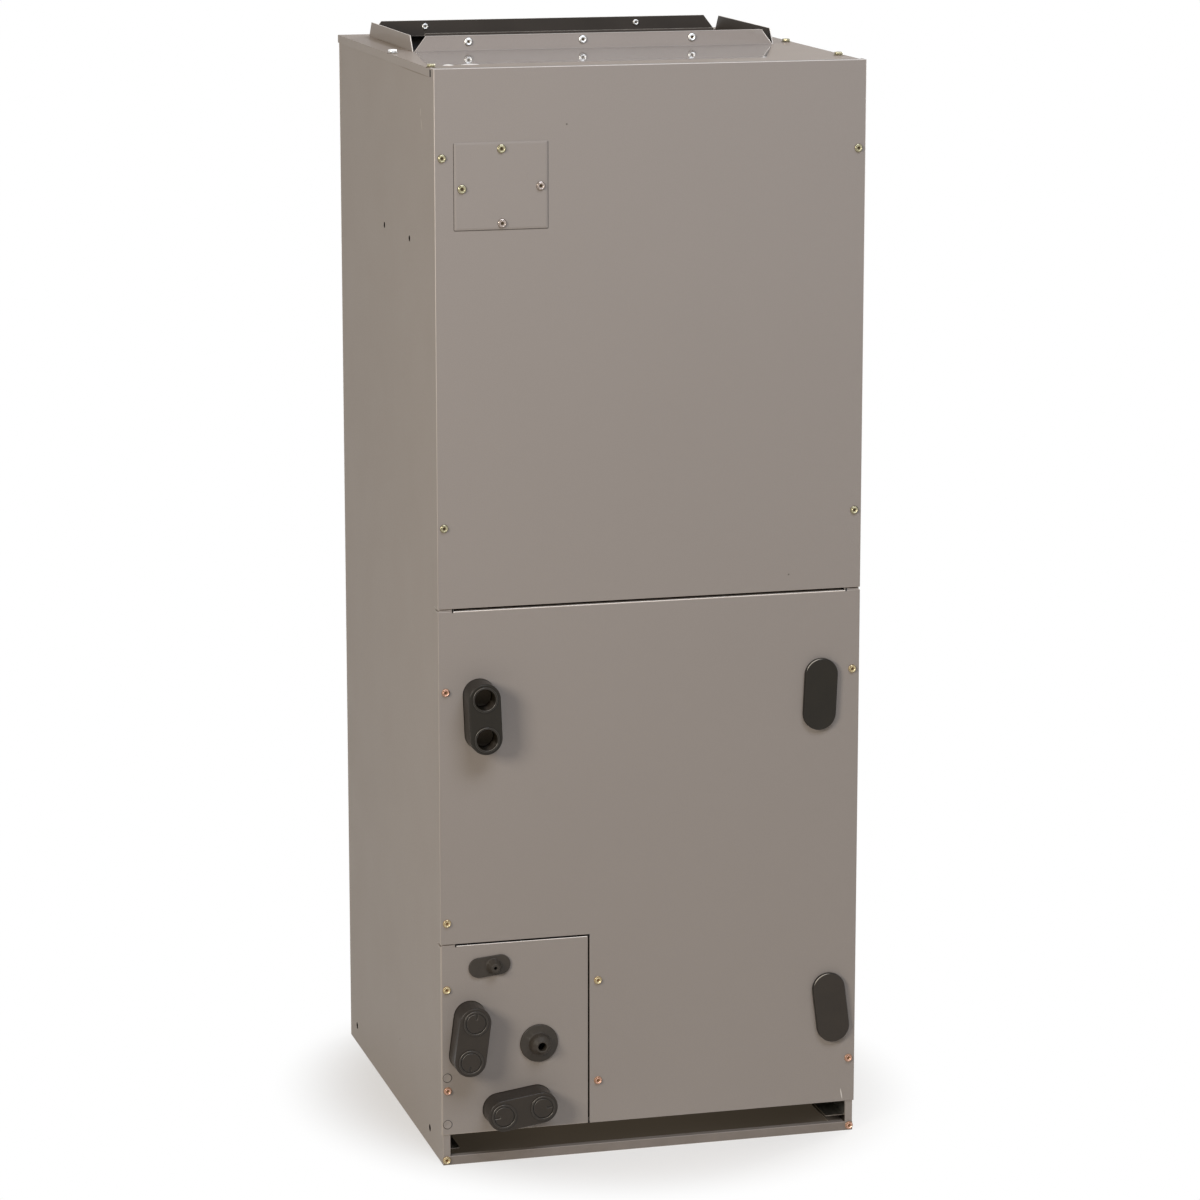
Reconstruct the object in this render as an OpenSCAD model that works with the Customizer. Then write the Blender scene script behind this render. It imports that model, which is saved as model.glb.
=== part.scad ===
// Vertical air handling unit: a sheet steel cabinet with two screwed doors, a small
// fitting panel, a filter slot at the foot and a flanged supply opening on top.
// Millimetres. X runs to the right of a person who faces the doors, Y runs to the back.

/* [Casing] */
// Width over the side lips of the doors
casing_w = 537; // [500:1:600]
// Depth from the door faces to the back lip of the top
casing_d = 560; // [545:1:640]
// Height of the casing without the duct flanges
casing_h = 1357; // [1340:1:1460]
// Thickness of the painted sheet
sheet_t = 1.2; // [0.8:0.1:1.6]
// Clearance between a lip and the wall that it laps
lip_gap = 0.3; // [0.2:0.1:0.6]
// Width of the flanges that the doors are screwed to
flange_w = 18.5; // [14:0.5:22]
// Width of those flanges beside the filter slot
slot_flange_w = 9.5; // [7:0.5:12]
// Width of the flanges that stand on the floor
foot_w = 20; // [18:1:26]
// Height of the lip that the top turns down over the walls
top_lip_h = 10; // [6:0.5:16]
// Height of the base rail
base_rail_h = 11.3; // [8:0.1:14]
// Depth of the return lip of the base rail
base_rail_lip = 9; // [5:0.5:12]
// Height of the filter slot
slot_h = 28; // [24:0.5:34]

/* [Doors] */
// Depth of the lips that wrap the casing
door_lip = 19; // [12:0.5:24]
// Slit between the door lips and the lips of the top
lip_split = 1.5; // [1:0.1:3]
// Lower edge of the upper door above the floor
seam_z = 705.5; // [690:0.5:740]
// Gap between the two doors
seam_gap = 3.2; // [2:0.1:5]
// Depth of the stiffening hems
hem_d = 10; // [6:0.5:12]
// Space between a hem and the flange beside it
hem_space = 1.5; // [1:0.1:3]
// Width of the fitting panel
fitting_w = 187.3; // [180:0.1:196]
// Upper edge of the fitting panel above the floor
fitting_top_z = 282; // [275:0.5:300]
// Gap round the fitting panel
fitting_gap = 2.4; // [1.5:0.1:4]

/* [Rails behind the doors] */
// Height of the rail over the filter slot
slot_rail_h = 7; // [5:0.5:8]
// Width of the frame strips behind the fitting panel
frame_strip_w = 38; // [30:1:44]
// Part of the upright strip that lies behind the fitting panel
frame_lap = 13; // [8:0.5:16]
// Height of the arm over the fitting panel
frame_arm_h = 18; // [12:1:24]
// Height of the channel behind the seam
middle_rail_h = 40; // [30:1:50]
// Depth of the channel behind the seam
middle_rail_d = 24; // [16:1:30]

/* [Breaker cover] */
// Width of the blank cover on the upper door
cover_w = 115; // [100:0.5:130]
// Height of the blank cover
cover_h = 104.5; // [90:0.5:120]
// Distance from the left edge to the middle of the cover
cover_x = 81; // [75:0.5:95]
// Distance from the top of the casing down to the middle of the cover
cover_drop = 140; // [127:1:167]

/* [Supply opening] */
// Width of the opening in the top
supply_w = 468; // [420:1:480]
// Depth of the opening in the top
supply_d = 262; // [240:1:270]
// Distance from the back of the casing to the opening
supply_back = 32; // [28:1:40]
// Height of the duct flanges above the top
duct_flange_h = 19; // [12:0.5:26]
// How far the mitred ends of a flange lean in
flange_mitre = 14.5; // [10:0.5:16]
// Gap between the feet of neighbouring flanges
flange_corner = 2; // [1:0.5:4]
// How far the backing strip rises over the front flange
backing_rise = 3; // [1:0.5:5]
// How far the backing strip reaches down into the opening
backing_drop = 18; // [10:1:24]
// Length of the backing strip from its left end
backing_l = 372; // [340:1:390]

/* [Drain and line fittings] */
// Width of a drain boss
boss_w = 40; // [37:0.5:41]
// Distance between the middles of the round ends of a boss
boss_pitch = 48.5; // [46:0.5:50]
// How far the drain bosses stand out of the doors
boss_out = 34; // [26:0.5:40]
// Clearance between a boss or plug and its cut-out
boss_gap = 0.4; // [0.2:0.1:0.8]
// Radius of the rounded edges of the bosses and plugs
boss_round = 1.6; // [1:0.1:2.4]
// Distance between the two ports of a boss
port_pitch = 50; // [47:0.5:51]
// Radius of the pipe sockets in the upper boss
socket_r = 13.2; // [11:0.1:14]
// Depth of the pipe sockets
socket_depth = 26; // [18:0.5:36]
// Wall of the raised collars round the ports
collar_t = 2.4; // [1.5:0.1:3.5]
// Height of those collars
collar_h = 2; // [1.5:0.1:3]
// Groove between a collar and the knockout that closes it
knockout_gap = 1.2; // [0.8:0.1:2]
// Step from a collar down to its knockout
knockout_step = 0.7; // [0.4:0.1:1.2]
// Length of the prying slot in a knockout
pry_slot_l = 7; // [5:0.5:9]
// Width of that slot
pry_slot_w = 2.2; // [1.5:0.1:3]
// How far the flat plugs stand out
plug_out = 6.5; // [5:0.5:9]
// How far a plug laps the door round its cut-out
plug_lap = 0.8; // [0.6:0.1:2]
// Distance from the casing edge to the upper boss and plug
upper_boss_x = 51.5; // [48:0.1:60]
// Height of the upper boss and plug above the floor
upper_boss_z = 573; // [560:1:600]
// Lean of the upper boss and plug away from the middle
upper_boss_lean = 2.4; // [0:0.1:4]
// Distance from the casing edge to the lower boss and plug
lower_boss_x = 33.3; // [31.5:0.1:38]
// Height of the lower boss and plug above the floor
lower_boss_z = 166; // [160:0.5:175]
// Lean of the lower boss and plug towards the middle
lower_boss_lean = 7.5; // [4:0.5:9]
// Distance from the casing edge to the boss of the main pan
pan_boss_x = 96.5; // [92:0.5:104]
// Height of the boss of the main pan above the floor
pan_boss_z = 71.5; // [71:0.5:76]
// Lean of the boss of the main pan
pan_boss_lean = 8; // [0:0.5:9]
// Radius of the round line grommet
grommet_r = 24.2; // [22:0.1:26]
// How far the round grommet stands out
grommet_out = 19; // [15:0.5:22]
// Radius of the step on the round grommet
grommet_step_r = 12.4; // [11:0.1:14]
// Radius of the hole in the round grommet
grommet_hole_r = 5.4; // [3.5:0.1:6]
// Thickness of the lips that hold a grommet in its panel
grommet_lip_t = 3; // [2:0.5:4]
// Width of those lips
grommet_lip = 2; // [1:0.5:3]
// Distance from the casing edge to the round grommet
grommet_x = 124.3; // [118:0.1:130]
// Height of the round grommet above the floor
grommet_z = 149.2; // [146:0.1:156]
// Length of the small line grommet
small_grommet_l = 53; // [50:0.5:56]
// Width of the small line grommet
small_grommet_w = 25; // [23:0.5:28]
// Lean of the small line grommet
small_grommet_lean = 5.5; // [0:0.5:7]
// How far the nipple of the small grommet stands out
small_grommet_out = 14; // [10:0.5:18]
// Distance from the middle of the small grommet to its nipple
small_nipple_x = 5; // [0:0.5:8]
// Radius of the hole in that nipple
small_hole_r = 2; // [1.5:0.1:3]
// Distance from the casing edge to the small grommet
small_grommet_x = 61.5; // [58:0.5:66]
// Height of the small grommet above the floor
small_grommet_z = 253.5; // [250:0.5:257]

/* [Side holes] */
// Radius of the upper fixing holes in each side
upper_hole_r = 3.3; // [2.5:0.1:5]
// Distance from the front to the first upper hole
upper_hole_y = 147; // [130:1:170]
// Distance between the upper holes
upper_hole_pitch = 143.5; // [120:0.5:160]
// Distance from the top of the casing down to the upper holes
upper_hole_drop = 218; // [197:1:257]
// Radius of the lower fixing holes in each side
lower_hole_r = 4; // [3:0.1:5]
// Distance from the front to the first lower hole
lower_hole_y = 74; // [60:1:90]
// Distance between the lower holes
lower_hole_pitch = 443; // [420:1:455]
// Height of the lower holes above the floor
lower_hole_z = 25; // [22:0.5:29]

/* [Filter rails and drain pans] */
// Width of the ledges that carry the filter and the pan
rail_ledge = 26; // [23:1:32]
// Distance from the door faces to the filter rails and pans
inside_front = 26; // [24:1:30]
// Length of the filter rails
filter_rail_l = 505; // [480:1:515]
// Height of the pan rails above the floor
pan_rail_z = 50; // [46:0.5:50]
// Distance from the outside of the walls to the main pan
pan_side = 18; // [15:0.5:18]
// Depth of the main pan from front to back
pan_d = 500; // [480:1:510]
// Height of the main pan
pan_h = 46; // [40:1:60]
// Thickness of the moulded pans
pan_t = 3.5; // [3:0.5:5]
// Width of the trough all round the main pan
trough_w = 96; // [88:1:100]
// Thickness of the side pan
side_pan_w = 24; // [18:1:26]
// Height of the side pan
side_pan_h = 540; // [510:1:570]

/* [Coil] */
// Length of the coil from front to back
coil_l = 440; // [400:1:450]
// Height of the coil above the pan floor
coil_h = 500; // [450:1:560]
// Thickness of a coil slab, measured level
coil_t = 45; // [36:1:50]
// Distance from the inner wall of the trough to the foot of a slab
coil_foot_gap = 20.5; // [14:0.5:26]
// Distance between the heads of the two slabs
coil_neck = 10; // [6:1:20]

/* [Insulation] */
// Thickness of the insulation on the walls
liner_t = 12; // [8:1:14]
// Distance from the door faces to the insulation
liner_front = 44; // [40:1:60]
// Height where the insulation starts
liner_z = 60; // [56:1:80]

/* [Blower] */
// Height of the space between the deck and the top of the casing
plenum_h = 143; // [110:1:162]
// Width of the blower housing
blower_w = 290; // [260:1:320]
// Radius of the blower wheel
wheel_r = 127; // [120:1:130]
// Length of the blower wheel
wheel_l = 248; // [220:1:250]
// Number of blades round the wheel
blade_count = 36; // [24:1:48]
// Length of a blade from its inner to its outer edge
blade_l = 17; // [14:1:20]
// Smallest radius of the scroll
scroll_r = 148; // [140:1:155]
// Growth of the scroll for each quarter turn
scroll_step = 26; // [18:1:30]
// Height of the blower shaft below the deck
blower_drop = 232; // [225:1:250]
// Distance from the back of the casing to the blower outlet
outlet_back = 34; // [30:1:40]
// Radius of the air inlets
inlet_r = 104; // [95:1:108]
// Radius of the rolled edge of an inlet
inlet_roll = 9; // [6:0.5:12]
// Radius of the motor
motor_r = 68; // [55:1:75]
// Length of the motor
motor_l = 140; // [110:1:150]
// Radius of the shaft
shaft_r = 6.4; // [5:0.1:8]
// Number of arms that hold the motor
arm_count = 3; // [3:1:4]
// Width of a motor arm
arm_w = 24; // [16:1:30]

/* [Hidden] */
$fn = 64;

// Colours of the finishes
paint = "#978d85";
backer = "#4a4744";
rubber = "#3b3733";
plastic = "#2f2c29";
fleece = "#33312f";
zinc = "#a9adae";
fins = "#b9bcbd";

// A cut runs this far past the face it opens
cut = 1;
// Room between a shaft and its hub, and between the motor and its band
running_gap = 0.2;

// Flats in a quarter turn of the scroll
quarter_steps = 12;

// The origin lies on the floor under the middle of the whole unit
frame_y = -(casing_d - boss_out) / 2;

// Walls
wall_x = casing_w / 2 - sheet_t - lip_gap;
wall_in = wall_x - sheet_t;
wall_top = casing_h - 2 * sheet_t;
wall_back = casing_d - 2 * sheet_t;
top_face = casing_h - sheet_t;
slot_top = base_rail_h + slot_h;
edge = casing_w / 2;

// Doors
lower_top = seam_z - seam_gap;
fitting_right = -edge + fitting_w;
strip_left = fitting_right + fitting_gap;
strip_top = fitting_top_z + fitting_gap;
hem_x = wall_x - flange_w - hem_space;
cover_z = casing_h - cover_drop;
upper_hole_z = casing_h - upper_hole_drop;
boss_face = boss_out - collar_h;
boss_hole_w = boss_w + 2 * boss_gap;

// Supply opening and duct flanges
supply_y = casing_d - supply_back - supply_d;
flange_x = supply_w / 2;

// Pans and coil
pan_x = wall_x - pan_side;
pan_floor = pan_rail_z + pan_t;
coil_front = inside_front + (pan_d - coil_l) / 2;
coil_foot = pan_x - pan_t - trough_w + coil_foot_gap;

// Blower: three quarter arcs, each struck from a centre one step further round
liner_in = wall_in - liner_t;
liner_back_y = wall_back - sheet_t - liner_t;
deck_z = casing_h - plenum_h;
deck_under = deck_z - sheet_t;
shaft_z = deck_z - blower_drop;
outlet_y = casing_d - outlet_back;
shaft_y = outlet_y - scroll_r - 2.5 * scroll_step;
outlet_front = shaft_y - scroll_step / 2;
half_w = blower_w / 2;
motor_x = half_w + arm_w - motor_l;

// Moves a piece from the middle of the door faces into the part's frame
module in_place() {
    translate([0, frame_y, 0]) children();
}

// A flat outline in X and Z, drawn as sheet whose front face lies at y
module sheet_at(y, t = sheet_t) {
    translate([0, y + t, 0]) rotate([90, 0, 0]) linear_extrude(t) children();
}

// A box given by its low and high corners
module span(low, high) {
    translate(low) cube(high - low);
}

// An upright oblong with round ends, given by its width and the pitch of its ends
module oblong(w, pitch) {
    square([w, pitch], center = true);
    for (end = [-1, 1]) translate([0, end * pitch / 2]) circle(d = w);
}

// The cut-out in a door for a boss or plug
module boss_hole(x, z, lean) {
    translate([x, z]) rotate(lean) oblong(boss_hole_w, boss_pitch);
}

// The right wall with its folded flanges and fixing holes
module wall() {
    difference() {
        union() {
            span([wall_in, sheet_t, 0], [wall_x, wall_back, wall_top]);
            sheet_at(sheet_t) difference() {
                polygon([[wall_x, 0], [wall_x - slot_flange_w, 0],
                    [wall_x - slot_flange_w, slot_top], [wall_x - flange_w, slot_top],
                    [wall_x - flange_w, wall_top], [wall_x, wall_top]]);
                boss_hole(edge - lower_boss_x, lower_boss_z, lower_boss_lean);
            }
            span([wall_x - flange_w, wall_back - sheet_t, 0], [wall_x, wall_back, wall_top]);
            span([wall_x - flange_w, sheet_t, wall_top - sheet_t], [wall_x, wall_back, wall_top]);
            span([wall_x - foot_w, 2 * sheet_t, 0], [wall_x, wall_back, sheet_t]);
        }
        upper_fixings();
        lower_fixings();
    }
}

// A round hole through the right wall and what lies against it
module fixing_hole(y, z, r) {
    depth = sheet_t + liner_t + cut;
    translate([wall_x + cut, y, z]) rotate([0, -90, 0]) cylinder(h = depth + cut, r = r);
}

module upper_fixings() {
    for (step = [0, 1]) fixing_hole(upper_hole_y + step * upper_hole_pitch, upper_hole_z, upper_hole_r);
}

module lower_fixings() {
    for (step = [0, 1]) fixing_hole(lower_hole_y + step * lower_hole_pitch, lower_hole_z, lower_hole_r);
}

module left_side() {
    color(paint) in_place() mirror([1, 0, 0]) wall();
}

module right_side() {
    color(paint) in_place() wall();
}

module back_panel() {
    foot_x = wall_x - max(foot_w, flange_w);
    color(paint) in_place() {
        span([-wall_x, wall_back, 0], [wall_x, wall_back + sheet_t, wall_top]);
        span([-foot_x, wall_back - foot_w, 0], [foot_x, wall_back, sheet_t]);
    }
}

// The top with lips turned down over both walls and the back
module top_panel() {
    lip_y = door_lip + lip_split;
    lip_z = top_face - top_lip_h;
    color(paint) in_place() difference() {
        union() {
            span([-wall_x, sheet_t, wall_top], [wall_x, casing_d, top_face]);
            span([-edge, lip_y, wall_top], [edge, casing_d, top_face]);
            for (side = [0, 1]) mirror([side, 0, 0])
                span([edge - sheet_t, lip_y, lip_z], [edge, casing_d, top_face]);
            span([-edge, casing_d - sheet_t, lip_z], [edge, casing_d, top_face]);
        }
        span([-flange_x, supply_y, wall_top - cut], [flange_x, supply_y + supply_d, top_face + cut]);
    }
}

// The rail under the filter slot, screwed to the front flanges
module base_rail() {
    lip_x = wall_x - slot_flange_w - hem_space;
    color(paint) in_place() {
        span([-wall_x, 0, 0], [wall_x, sheet_t, base_rail_h]);
        span([-lip_x, 0, base_rail_h - sheet_t], [lip_x, base_rail_lip, base_rail_h]);
    }
}

// The rail over the filter slot, which backs the lower edges of the doors
module slot_rail() {
    rail_x = wall_x - flange_w;
    color(paint) in_place()
        span([-rail_x, sheet_t, slot_top], [rail_x, 2 * sheet_t, slot_top + slot_rail_h]);
}

// The upright and the arm that the fitting panel and the lower door close against
module panel_frame() {
    post_left = fitting_right - frame_lap;
    arm_z = strip_top + hem_space + sheet_t;
    color(paint) in_place() sheet_at(sheet_t) {
        translate([post_left, slot_top + slot_rail_h])
            square([frame_strip_w, arm_z + frame_arm_h - slot_top - slot_rail_h]);
        translate([-wall_x + flange_w, arm_z])
            square([post_left + wall_x - flange_w, frame_arm_h]);
    }
}

// The channel behind the seam between the doors
module middle_rail() {
    front = hem_d + hem_space;
    low = seam_z - seam_gap / 2 - middle_rail_h / 2;
    high = low + middle_rail_h;
    color(backer) in_place() {
        span([-wall_in, front, low], [wall_in, front + sheet_t, high]);
        for (z = [low, high - sheet_t])
            span([-wall_in, front, z], [wall_in, front + middle_rail_d, z + sheet_t]);
    }
}

// A lip that wraps the right wall between two heights
module wrap_lip(low, high) {
    span([edge - sheet_t, 0, low], [edge, door_lip, high]);
}

// A hem folded in between two places on a level edge
module hem(x0, x1, z) {
    span([x0, 0, z], [x1, hem_d, z + sheet_t]);
}

module upper_door() {
    color(paint) in_place() {
        span([-edge, 0, seam_z], [edge, sheet_t, casing_h]);
        for (side = [0, 1]) mirror([side, 0, 0]) wrap_lip(seam_z, casing_h);
        hem(-hem_x, hem_x, seam_z);
        hem(-edge, edge, casing_h - sheet_t);
    }
}

// The door below the seam, cut away round the fitting panel
module lower_door() {
    color(paint) in_place() {
        sheet_at(0) difference() {
            polygon([[strip_left, slot_top], [edge, slot_top], [edge, lower_top],
                [-edge, lower_top], [-edge, strip_top], [strip_left, strip_top]]);
            boss_hole(-edge + upper_boss_x, upper_boss_z, upper_boss_lean);
            boss_hole(edge - upper_boss_x, upper_boss_z, -upper_boss_lean);
            boss_hole(edge - lower_boss_x, lower_boss_z, lower_boss_lean);
        }
        wrap_lip(slot_top, lower_top);
        mirror([1, 0, 0]) wrap_lip(strip_top, lower_top);
        hem(-hem_x, hem_x, lower_top - sheet_t);
    }
}

// The small panel at the lower left, with cut-outs for the fittings
module fitting_panel() {
    color(paint) in_place() {
        sheet_at(0) difference() {
            translate([-edge, slot_top]) square([fitting_w, fitting_top_z - slot_top]);
            boss_hole(-edge + lower_boss_x, lower_boss_z, -lower_boss_lean);
            boss_hole(-edge + pan_boss_x, pan_boss_z, 90 + pan_boss_lean);
            translate([-edge + grommet_x, grommet_z]) circle(r = grommet_r - grommet_lip);
            translate([-edge + small_grommet_x, small_grommet_z]) small_oblong(grommet_lip);
        }
        mirror([1, 0, 0]) wrap_lip(slot_top, fitting_top_z);
    }
}

module breaker_cover() {
    color(paint) in_place() sheet_at(-sheet_t)
        translate([-edge + cover_x, cover_z]) square([cover_w, cover_h], center = true);
}

// A duct flange with mitred ends that faces the front, standing in the edge of the opening
module duct_flange(length) {
    foot = length / 2 - flange_corner;
    head = foot - flange_mitre;
    sheet_at(0) polygon([[-foot, wall_top], [foot, wall_top], [foot, top_face],
        [head, top_face + duct_flange_h], [-head, top_face + duct_flange_h], [-foot, top_face]]);
}

module duct_flange_front() {
    color(paint) in_place() translate([0, supply_y, 0]) duct_flange(supply_w);
}

module duct_flange_back() {
    color(paint) in_place() translate([0, supply_y + supply_d - sheet_t, 0]) duct_flange(supply_w);
}

// A flange along one side of the opening
module duct_flange_side(side) {
    color(paint) in_place() translate([side * (flange_x - sheet_t / 2), supply_y + supply_d / 2, 0])
        rotate(90) translate([0, -sheet_t / 2, 0]) duct_flange(supply_d - 2 * sheet_t);
}

module duct_flange_left() {
    duct_flange_side(-1);
}

module duct_flange_right() {
    duct_flange_side(1);
}

// The strip that is screwed to the inner face of the front flange
module flange_backing() {
    start = -flange_x + sheet_t + flange_mitre;
    color(backer) in_place() span([start, supply_y + sheet_t, wall_top - backing_drop],
        [start + backing_l, supply_y + 2 * sheet_t, top_face + duct_flange_h + backing_rise]);
}

// Half the section of a block whose upper edge is rounded
module half_section(half, h) {
    square([half, h - boss_round]);
    square([half - boss_round, h]);
    translate([half - boss_round, h - boss_round]) circle(r = boss_round);
}

// An upright oblong block that stands out of a door, with a rounded edge round its face
module pill(w, h) {
    rotate([90, 0, 0]) {
        for (end = [-1, 1]) translate([0, end * boss_pitch / 2, 0]) rotate_extrude() half_section(w / 2, h);
        translate([0, boss_pitch / 2, 0]) rotate([90, 0, 0]) linear_extrude(boss_pitch)
            for (side = [0, 1]) mirror([side, 0]) half_section(w / 2, h);
    }
}

// Places what stands on the face of a boss at both of its ports, out towards the viewer
module at_ports(depth) {
    for (end = [0, 1]) rotate([0, 180 * end, 0]) translate([0, -depth, port_pitch / 2])
        rotate([90, 0, 0]) children();
}

// The body of a drain boss: it runs from the pan out through the door to two raised collars
module boss_body() {
    pill(boss_w, boss_face);
    sheet_at(0, inside_front) oblong(boss_w, boss_pitch);
    at_ports(boss_face - cut) difference() {
        cylinder(h = collar_h + cut, r = socket_r + collar_t);
        cylinder(h = collar_h + 2 * cut, r = socket_r);
    }
}

// A boss whose two ports are still closed by round knockouts with a prying slot
module closed_boss() {
    knockout_r = socket_r - knockout_gap;
    boss_body();
    at_ports(boss_face - cut) difference() {
        cylinder(h = collar_h + cut - knockout_step, r = knockout_r);
        translate([-pry_slot_w / 2, knockout_r - pry_slot_l, cut])
            cube([pry_slot_w, pry_slot_l + cut, collar_h]);
    }
}

module drain_boss_upper() {
    color(plastic) in_place() translate([-edge + upper_boss_x, 0, upper_boss_z])
        rotate([0, -upper_boss_lean, 0]) difference() {
            boss_body();
            at_ports(boss_out - socket_depth) cylinder(h = socket_depth + cut, r = socket_r);
        }
}

module drain_boss_left() {
    color(plastic) in_place() translate([-edge + lower_boss_x, 0, lower_boss_z])
        rotate([0, lower_boss_lean, 0]) closed_boss();
}

module drain_boss_lower() {
    color(plastic) in_place() translate([-edge + pan_boss_x, 0, pan_boss_z])
        rotate([0, -90 - pan_boss_lean, 0]) closed_boss();
}

// A flat plug that closes an unused drain cut-out
module plug() {
    pill(boss_hole_w + 2 * plug_lap, plug_out);
    sheet_at(0, hem_d) oblong(boss_w, boss_pitch);
}

module plug_upper() {
    color(plastic) in_place() translate([edge - upper_boss_x, 0, upper_boss_z])
        rotate([0, upper_boss_lean, 0]) plug();
}

module plug_lower() {
    color(plastic) in_place() translate([edge - lower_boss_x, 0, lower_boss_z])
        rotate([0, -lower_boss_lean, 0]) plug();
}

// A turned rubber grommet: a lip on both faces of the panel and a stepped nipple with a hole
module line_grommet_round() {
    hole = grommet_r - grommet_lip - lip_gap;
    back = sheet_t + grommet_lip_t;
    shoulder = 0.7 * grommet_out;
    color(rubber) in_place() translate([-edge + grommet_x, 0, grommet_z]) rotate([90, 0, 0])
        rotate_extrude() polygon([[grommet_hole_r, -back], [grommet_r, -back], [grommet_r, -sheet_t],
            [hole, -sheet_t], [hole, 0], [grommet_r, 0], [grommet_r, grommet_lip_t - 1],
            [grommet_r - 1, grommet_lip_t], [grommet_step_r + grommet_lip, grommet_lip_t + 1],
            [grommet_step_r, shoulder], [grommet_hole_r + grommet_lip, grommet_out],
            [grommet_hole_r, grommet_out]]);
}

// The outline of the small grommet, taken in by an inset all round
module small_oblong(inset) {
    rotate(90 + small_grommet_lean) oblong(small_grommet_w - 2 * inset, small_grommet_l - small_grommet_w);
}

module line_grommet_small() {
    nipple_r = small_grommet_w / 2 - grommet_lip;
    nipple_h = small_grommet_out - grommet_lip_t;
    color(rubber) in_place() translate([-edge + small_grommet_x, 0, small_grommet_z]) difference() {
        union() {
            rotate([90, 0, 0]) linear_extrude(grommet_lip_t) small_oblong(0);
            sheet_at(0, sheet_t) small_oblong(grommet_lip + lip_gap);
            sheet_at(sheet_t, grommet_lip_t) small_oblong(0);
            translate([small_nipple_x, -grommet_lip_t, 0]) rotate([90, 0, 0])
                cylinder(h = nipple_h, r1 = nipple_r, r2 = nipple_r / 2);
        }
        translate([small_nipple_x, -grommet_lip_t, 0]) rotate([90, 0, 0])
            cylinder(h = nipple_h + cut, r = small_hole_r);
    }
}

// Insulation glued to the right wall behind the channel at the seam
module wall_liner() {
    color(fleece) in_place() difference() {
        span([liner_in, liner_front, liner_z], [wall_in, wall_back - sheet_t, wall_top - sheet_t]);
        upper_fixings();
    }
}

module liner_left() {
    mirror([1, 0, 0]) wall_liner();
}

module liner_right() {
    wall_liner();
}

module liner_back() {
    color(fleece) in_place() span([-liner_in, liner_back_y, liner_z],
        [liner_in, wall_back - sheet_t, wall_top - sheet_t]);
}

// A channel on the right wall with ledges under the filter, over it and under the pan
module filter_rail() {
    back = inside_front + filter_rail_l;
    color(zinc) in_place() {
        difference() {
            span([wall_in - sheet_t, inside_front, base_rail_h], [wall_in, back, pan_rail_z]);
            lower_fixings();
        }
        for (z = [base_rail_h, slot_top, pan_rail_z - sheet_t])
            span([wall_in - rail_ledge, inside_front, z], [wall_in, back, z + sheet_t]);
    }
}

module filter_rail_left() {
    mirror([1, 0, 0]) filter_rail();
}

module filter_rail_right() {
    filter_rail();
}

// The moulded pan: a trough all round an open middle that lets the air through
module drain_pan() {
    rim = trough_w + 2 * pan_t;
    color(plastic) in_place() translate([-pan_x, inside_front, pan_rail_z]) difference() {
        cube([2 * pan_x, pan_d, pan_h]);
        difference() {
            translate([pan_t, pan_t, pan_t]) cube([2 * (pan_x - pan_t), pan_d - 2 * pan_t, pan_h]);
            translate([rim - pan_t, rim / 2 - pan_t, 0])
                cube([2 * (pan_x - rim + pan_t), pan_d - rim + 2 * pan_t, pan_h + cut]);
        }
        translate([rim, rim / 2, -cut]) cube([2 * (pan_x - rim), pan_d - rim, pan_h + 2 * cut]);
    }
}

// The upright tray at the left wall that drains the coil when the unit lies down
module side_pan() {
    low = pan_rail_z + pan_h;
    color(plastic) in_place() translate([-pan_x, inside_front, low]) difference() {
        cube([side_pan_w, pan_d, side_pan_h]);
        translate([pan_t, pan_t, pan_t]) cube([side_pan_w, pan_d - 2 * pan_t, side_pan_h - 2 * pan_t]);
    }
}

// The level section of the right coil slab, which leans in to the head of the coil
module slab_outline() {
    polygon([[coil_foot, pan_floor], [coil_foot + coil_t, pan_floor],
        [coil_neck / 2 + coil_t, pan_floor + coil_h], [coil_neck / 2, pan_floor + coil_h]]);
}

module coil_right() {
    color(fins) in_place() sheet_at(coil_front, coil_l) slab_outline();
}

module coil_left() {
    mirror([1, 0, 0]) coil_right();
}

// A plate that ties the ends of the slabs and closes the space between them
module coil_plate(y) {
    foot = coil_foot + coil_t;
    head = coil_neck / 2 + coil_t;
    color(zinc) in_place() sheet_at(y) polygon([[-foot, pan_rail_z + pan_h], [-foot, pan_floor],
        [-coil_foot, pan_floor], [-coil_foot, pan_rail_z + pan_h], [coil_foot, pan_rail_z + pan_h],
        [coil_foot, pan_floor], [foot, pan_floor], [foot, pan_rail_z + pan_h],
        [head, pan_floor + coil_h], [-head, pan_floor + coil_h]]);
}

// The strip over the heads of the two slabs
module coil_cap() {
    head = coil_neck / 2 + coil_t;
    z = pan_floor + coil_h;
    color(zinc) in_place() span([-head, coil_front, z], [head, coil_front + coil_l, z + sheet_t]);
}

module coil_plate_front() {
    coil_plate(coil_front - sheet_t);
}

module coil_plate_back() {
    coil_plate(coil_front + coil_l);
}

// The shelf that the blower hangs from, folded up where it meets the insulation
module blower_deck() {
    fold = flange_w;
    color(zinc) in_place() difference() {
        union() {
            span([-liner_in, liner_front, deck_under], [liner_in, liner_back_y, deck_z]);
            for (side = [0, 1]) mirror([side, 0, 0])
                span([liner_in - sheet_t, liner_front, deck_under], [liner_in, liner_back_y, deck_z + fold]);
        }
        span([-half_w + sheet_t, outlet_front + sheet_t, deck_under - cut],
            [half_w - sheet_t, outlet_y - sheet_t, deck_z + cut]);
    }
}

// Points of a quarter turn about a centre, without the last one
function quarter(centre, r, start) = [for (i = [0:quarter_steps - 1])
    let (a = start + i * 90 / quarter_steps) centre + r * [cos(a), sin(a)]];

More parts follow.
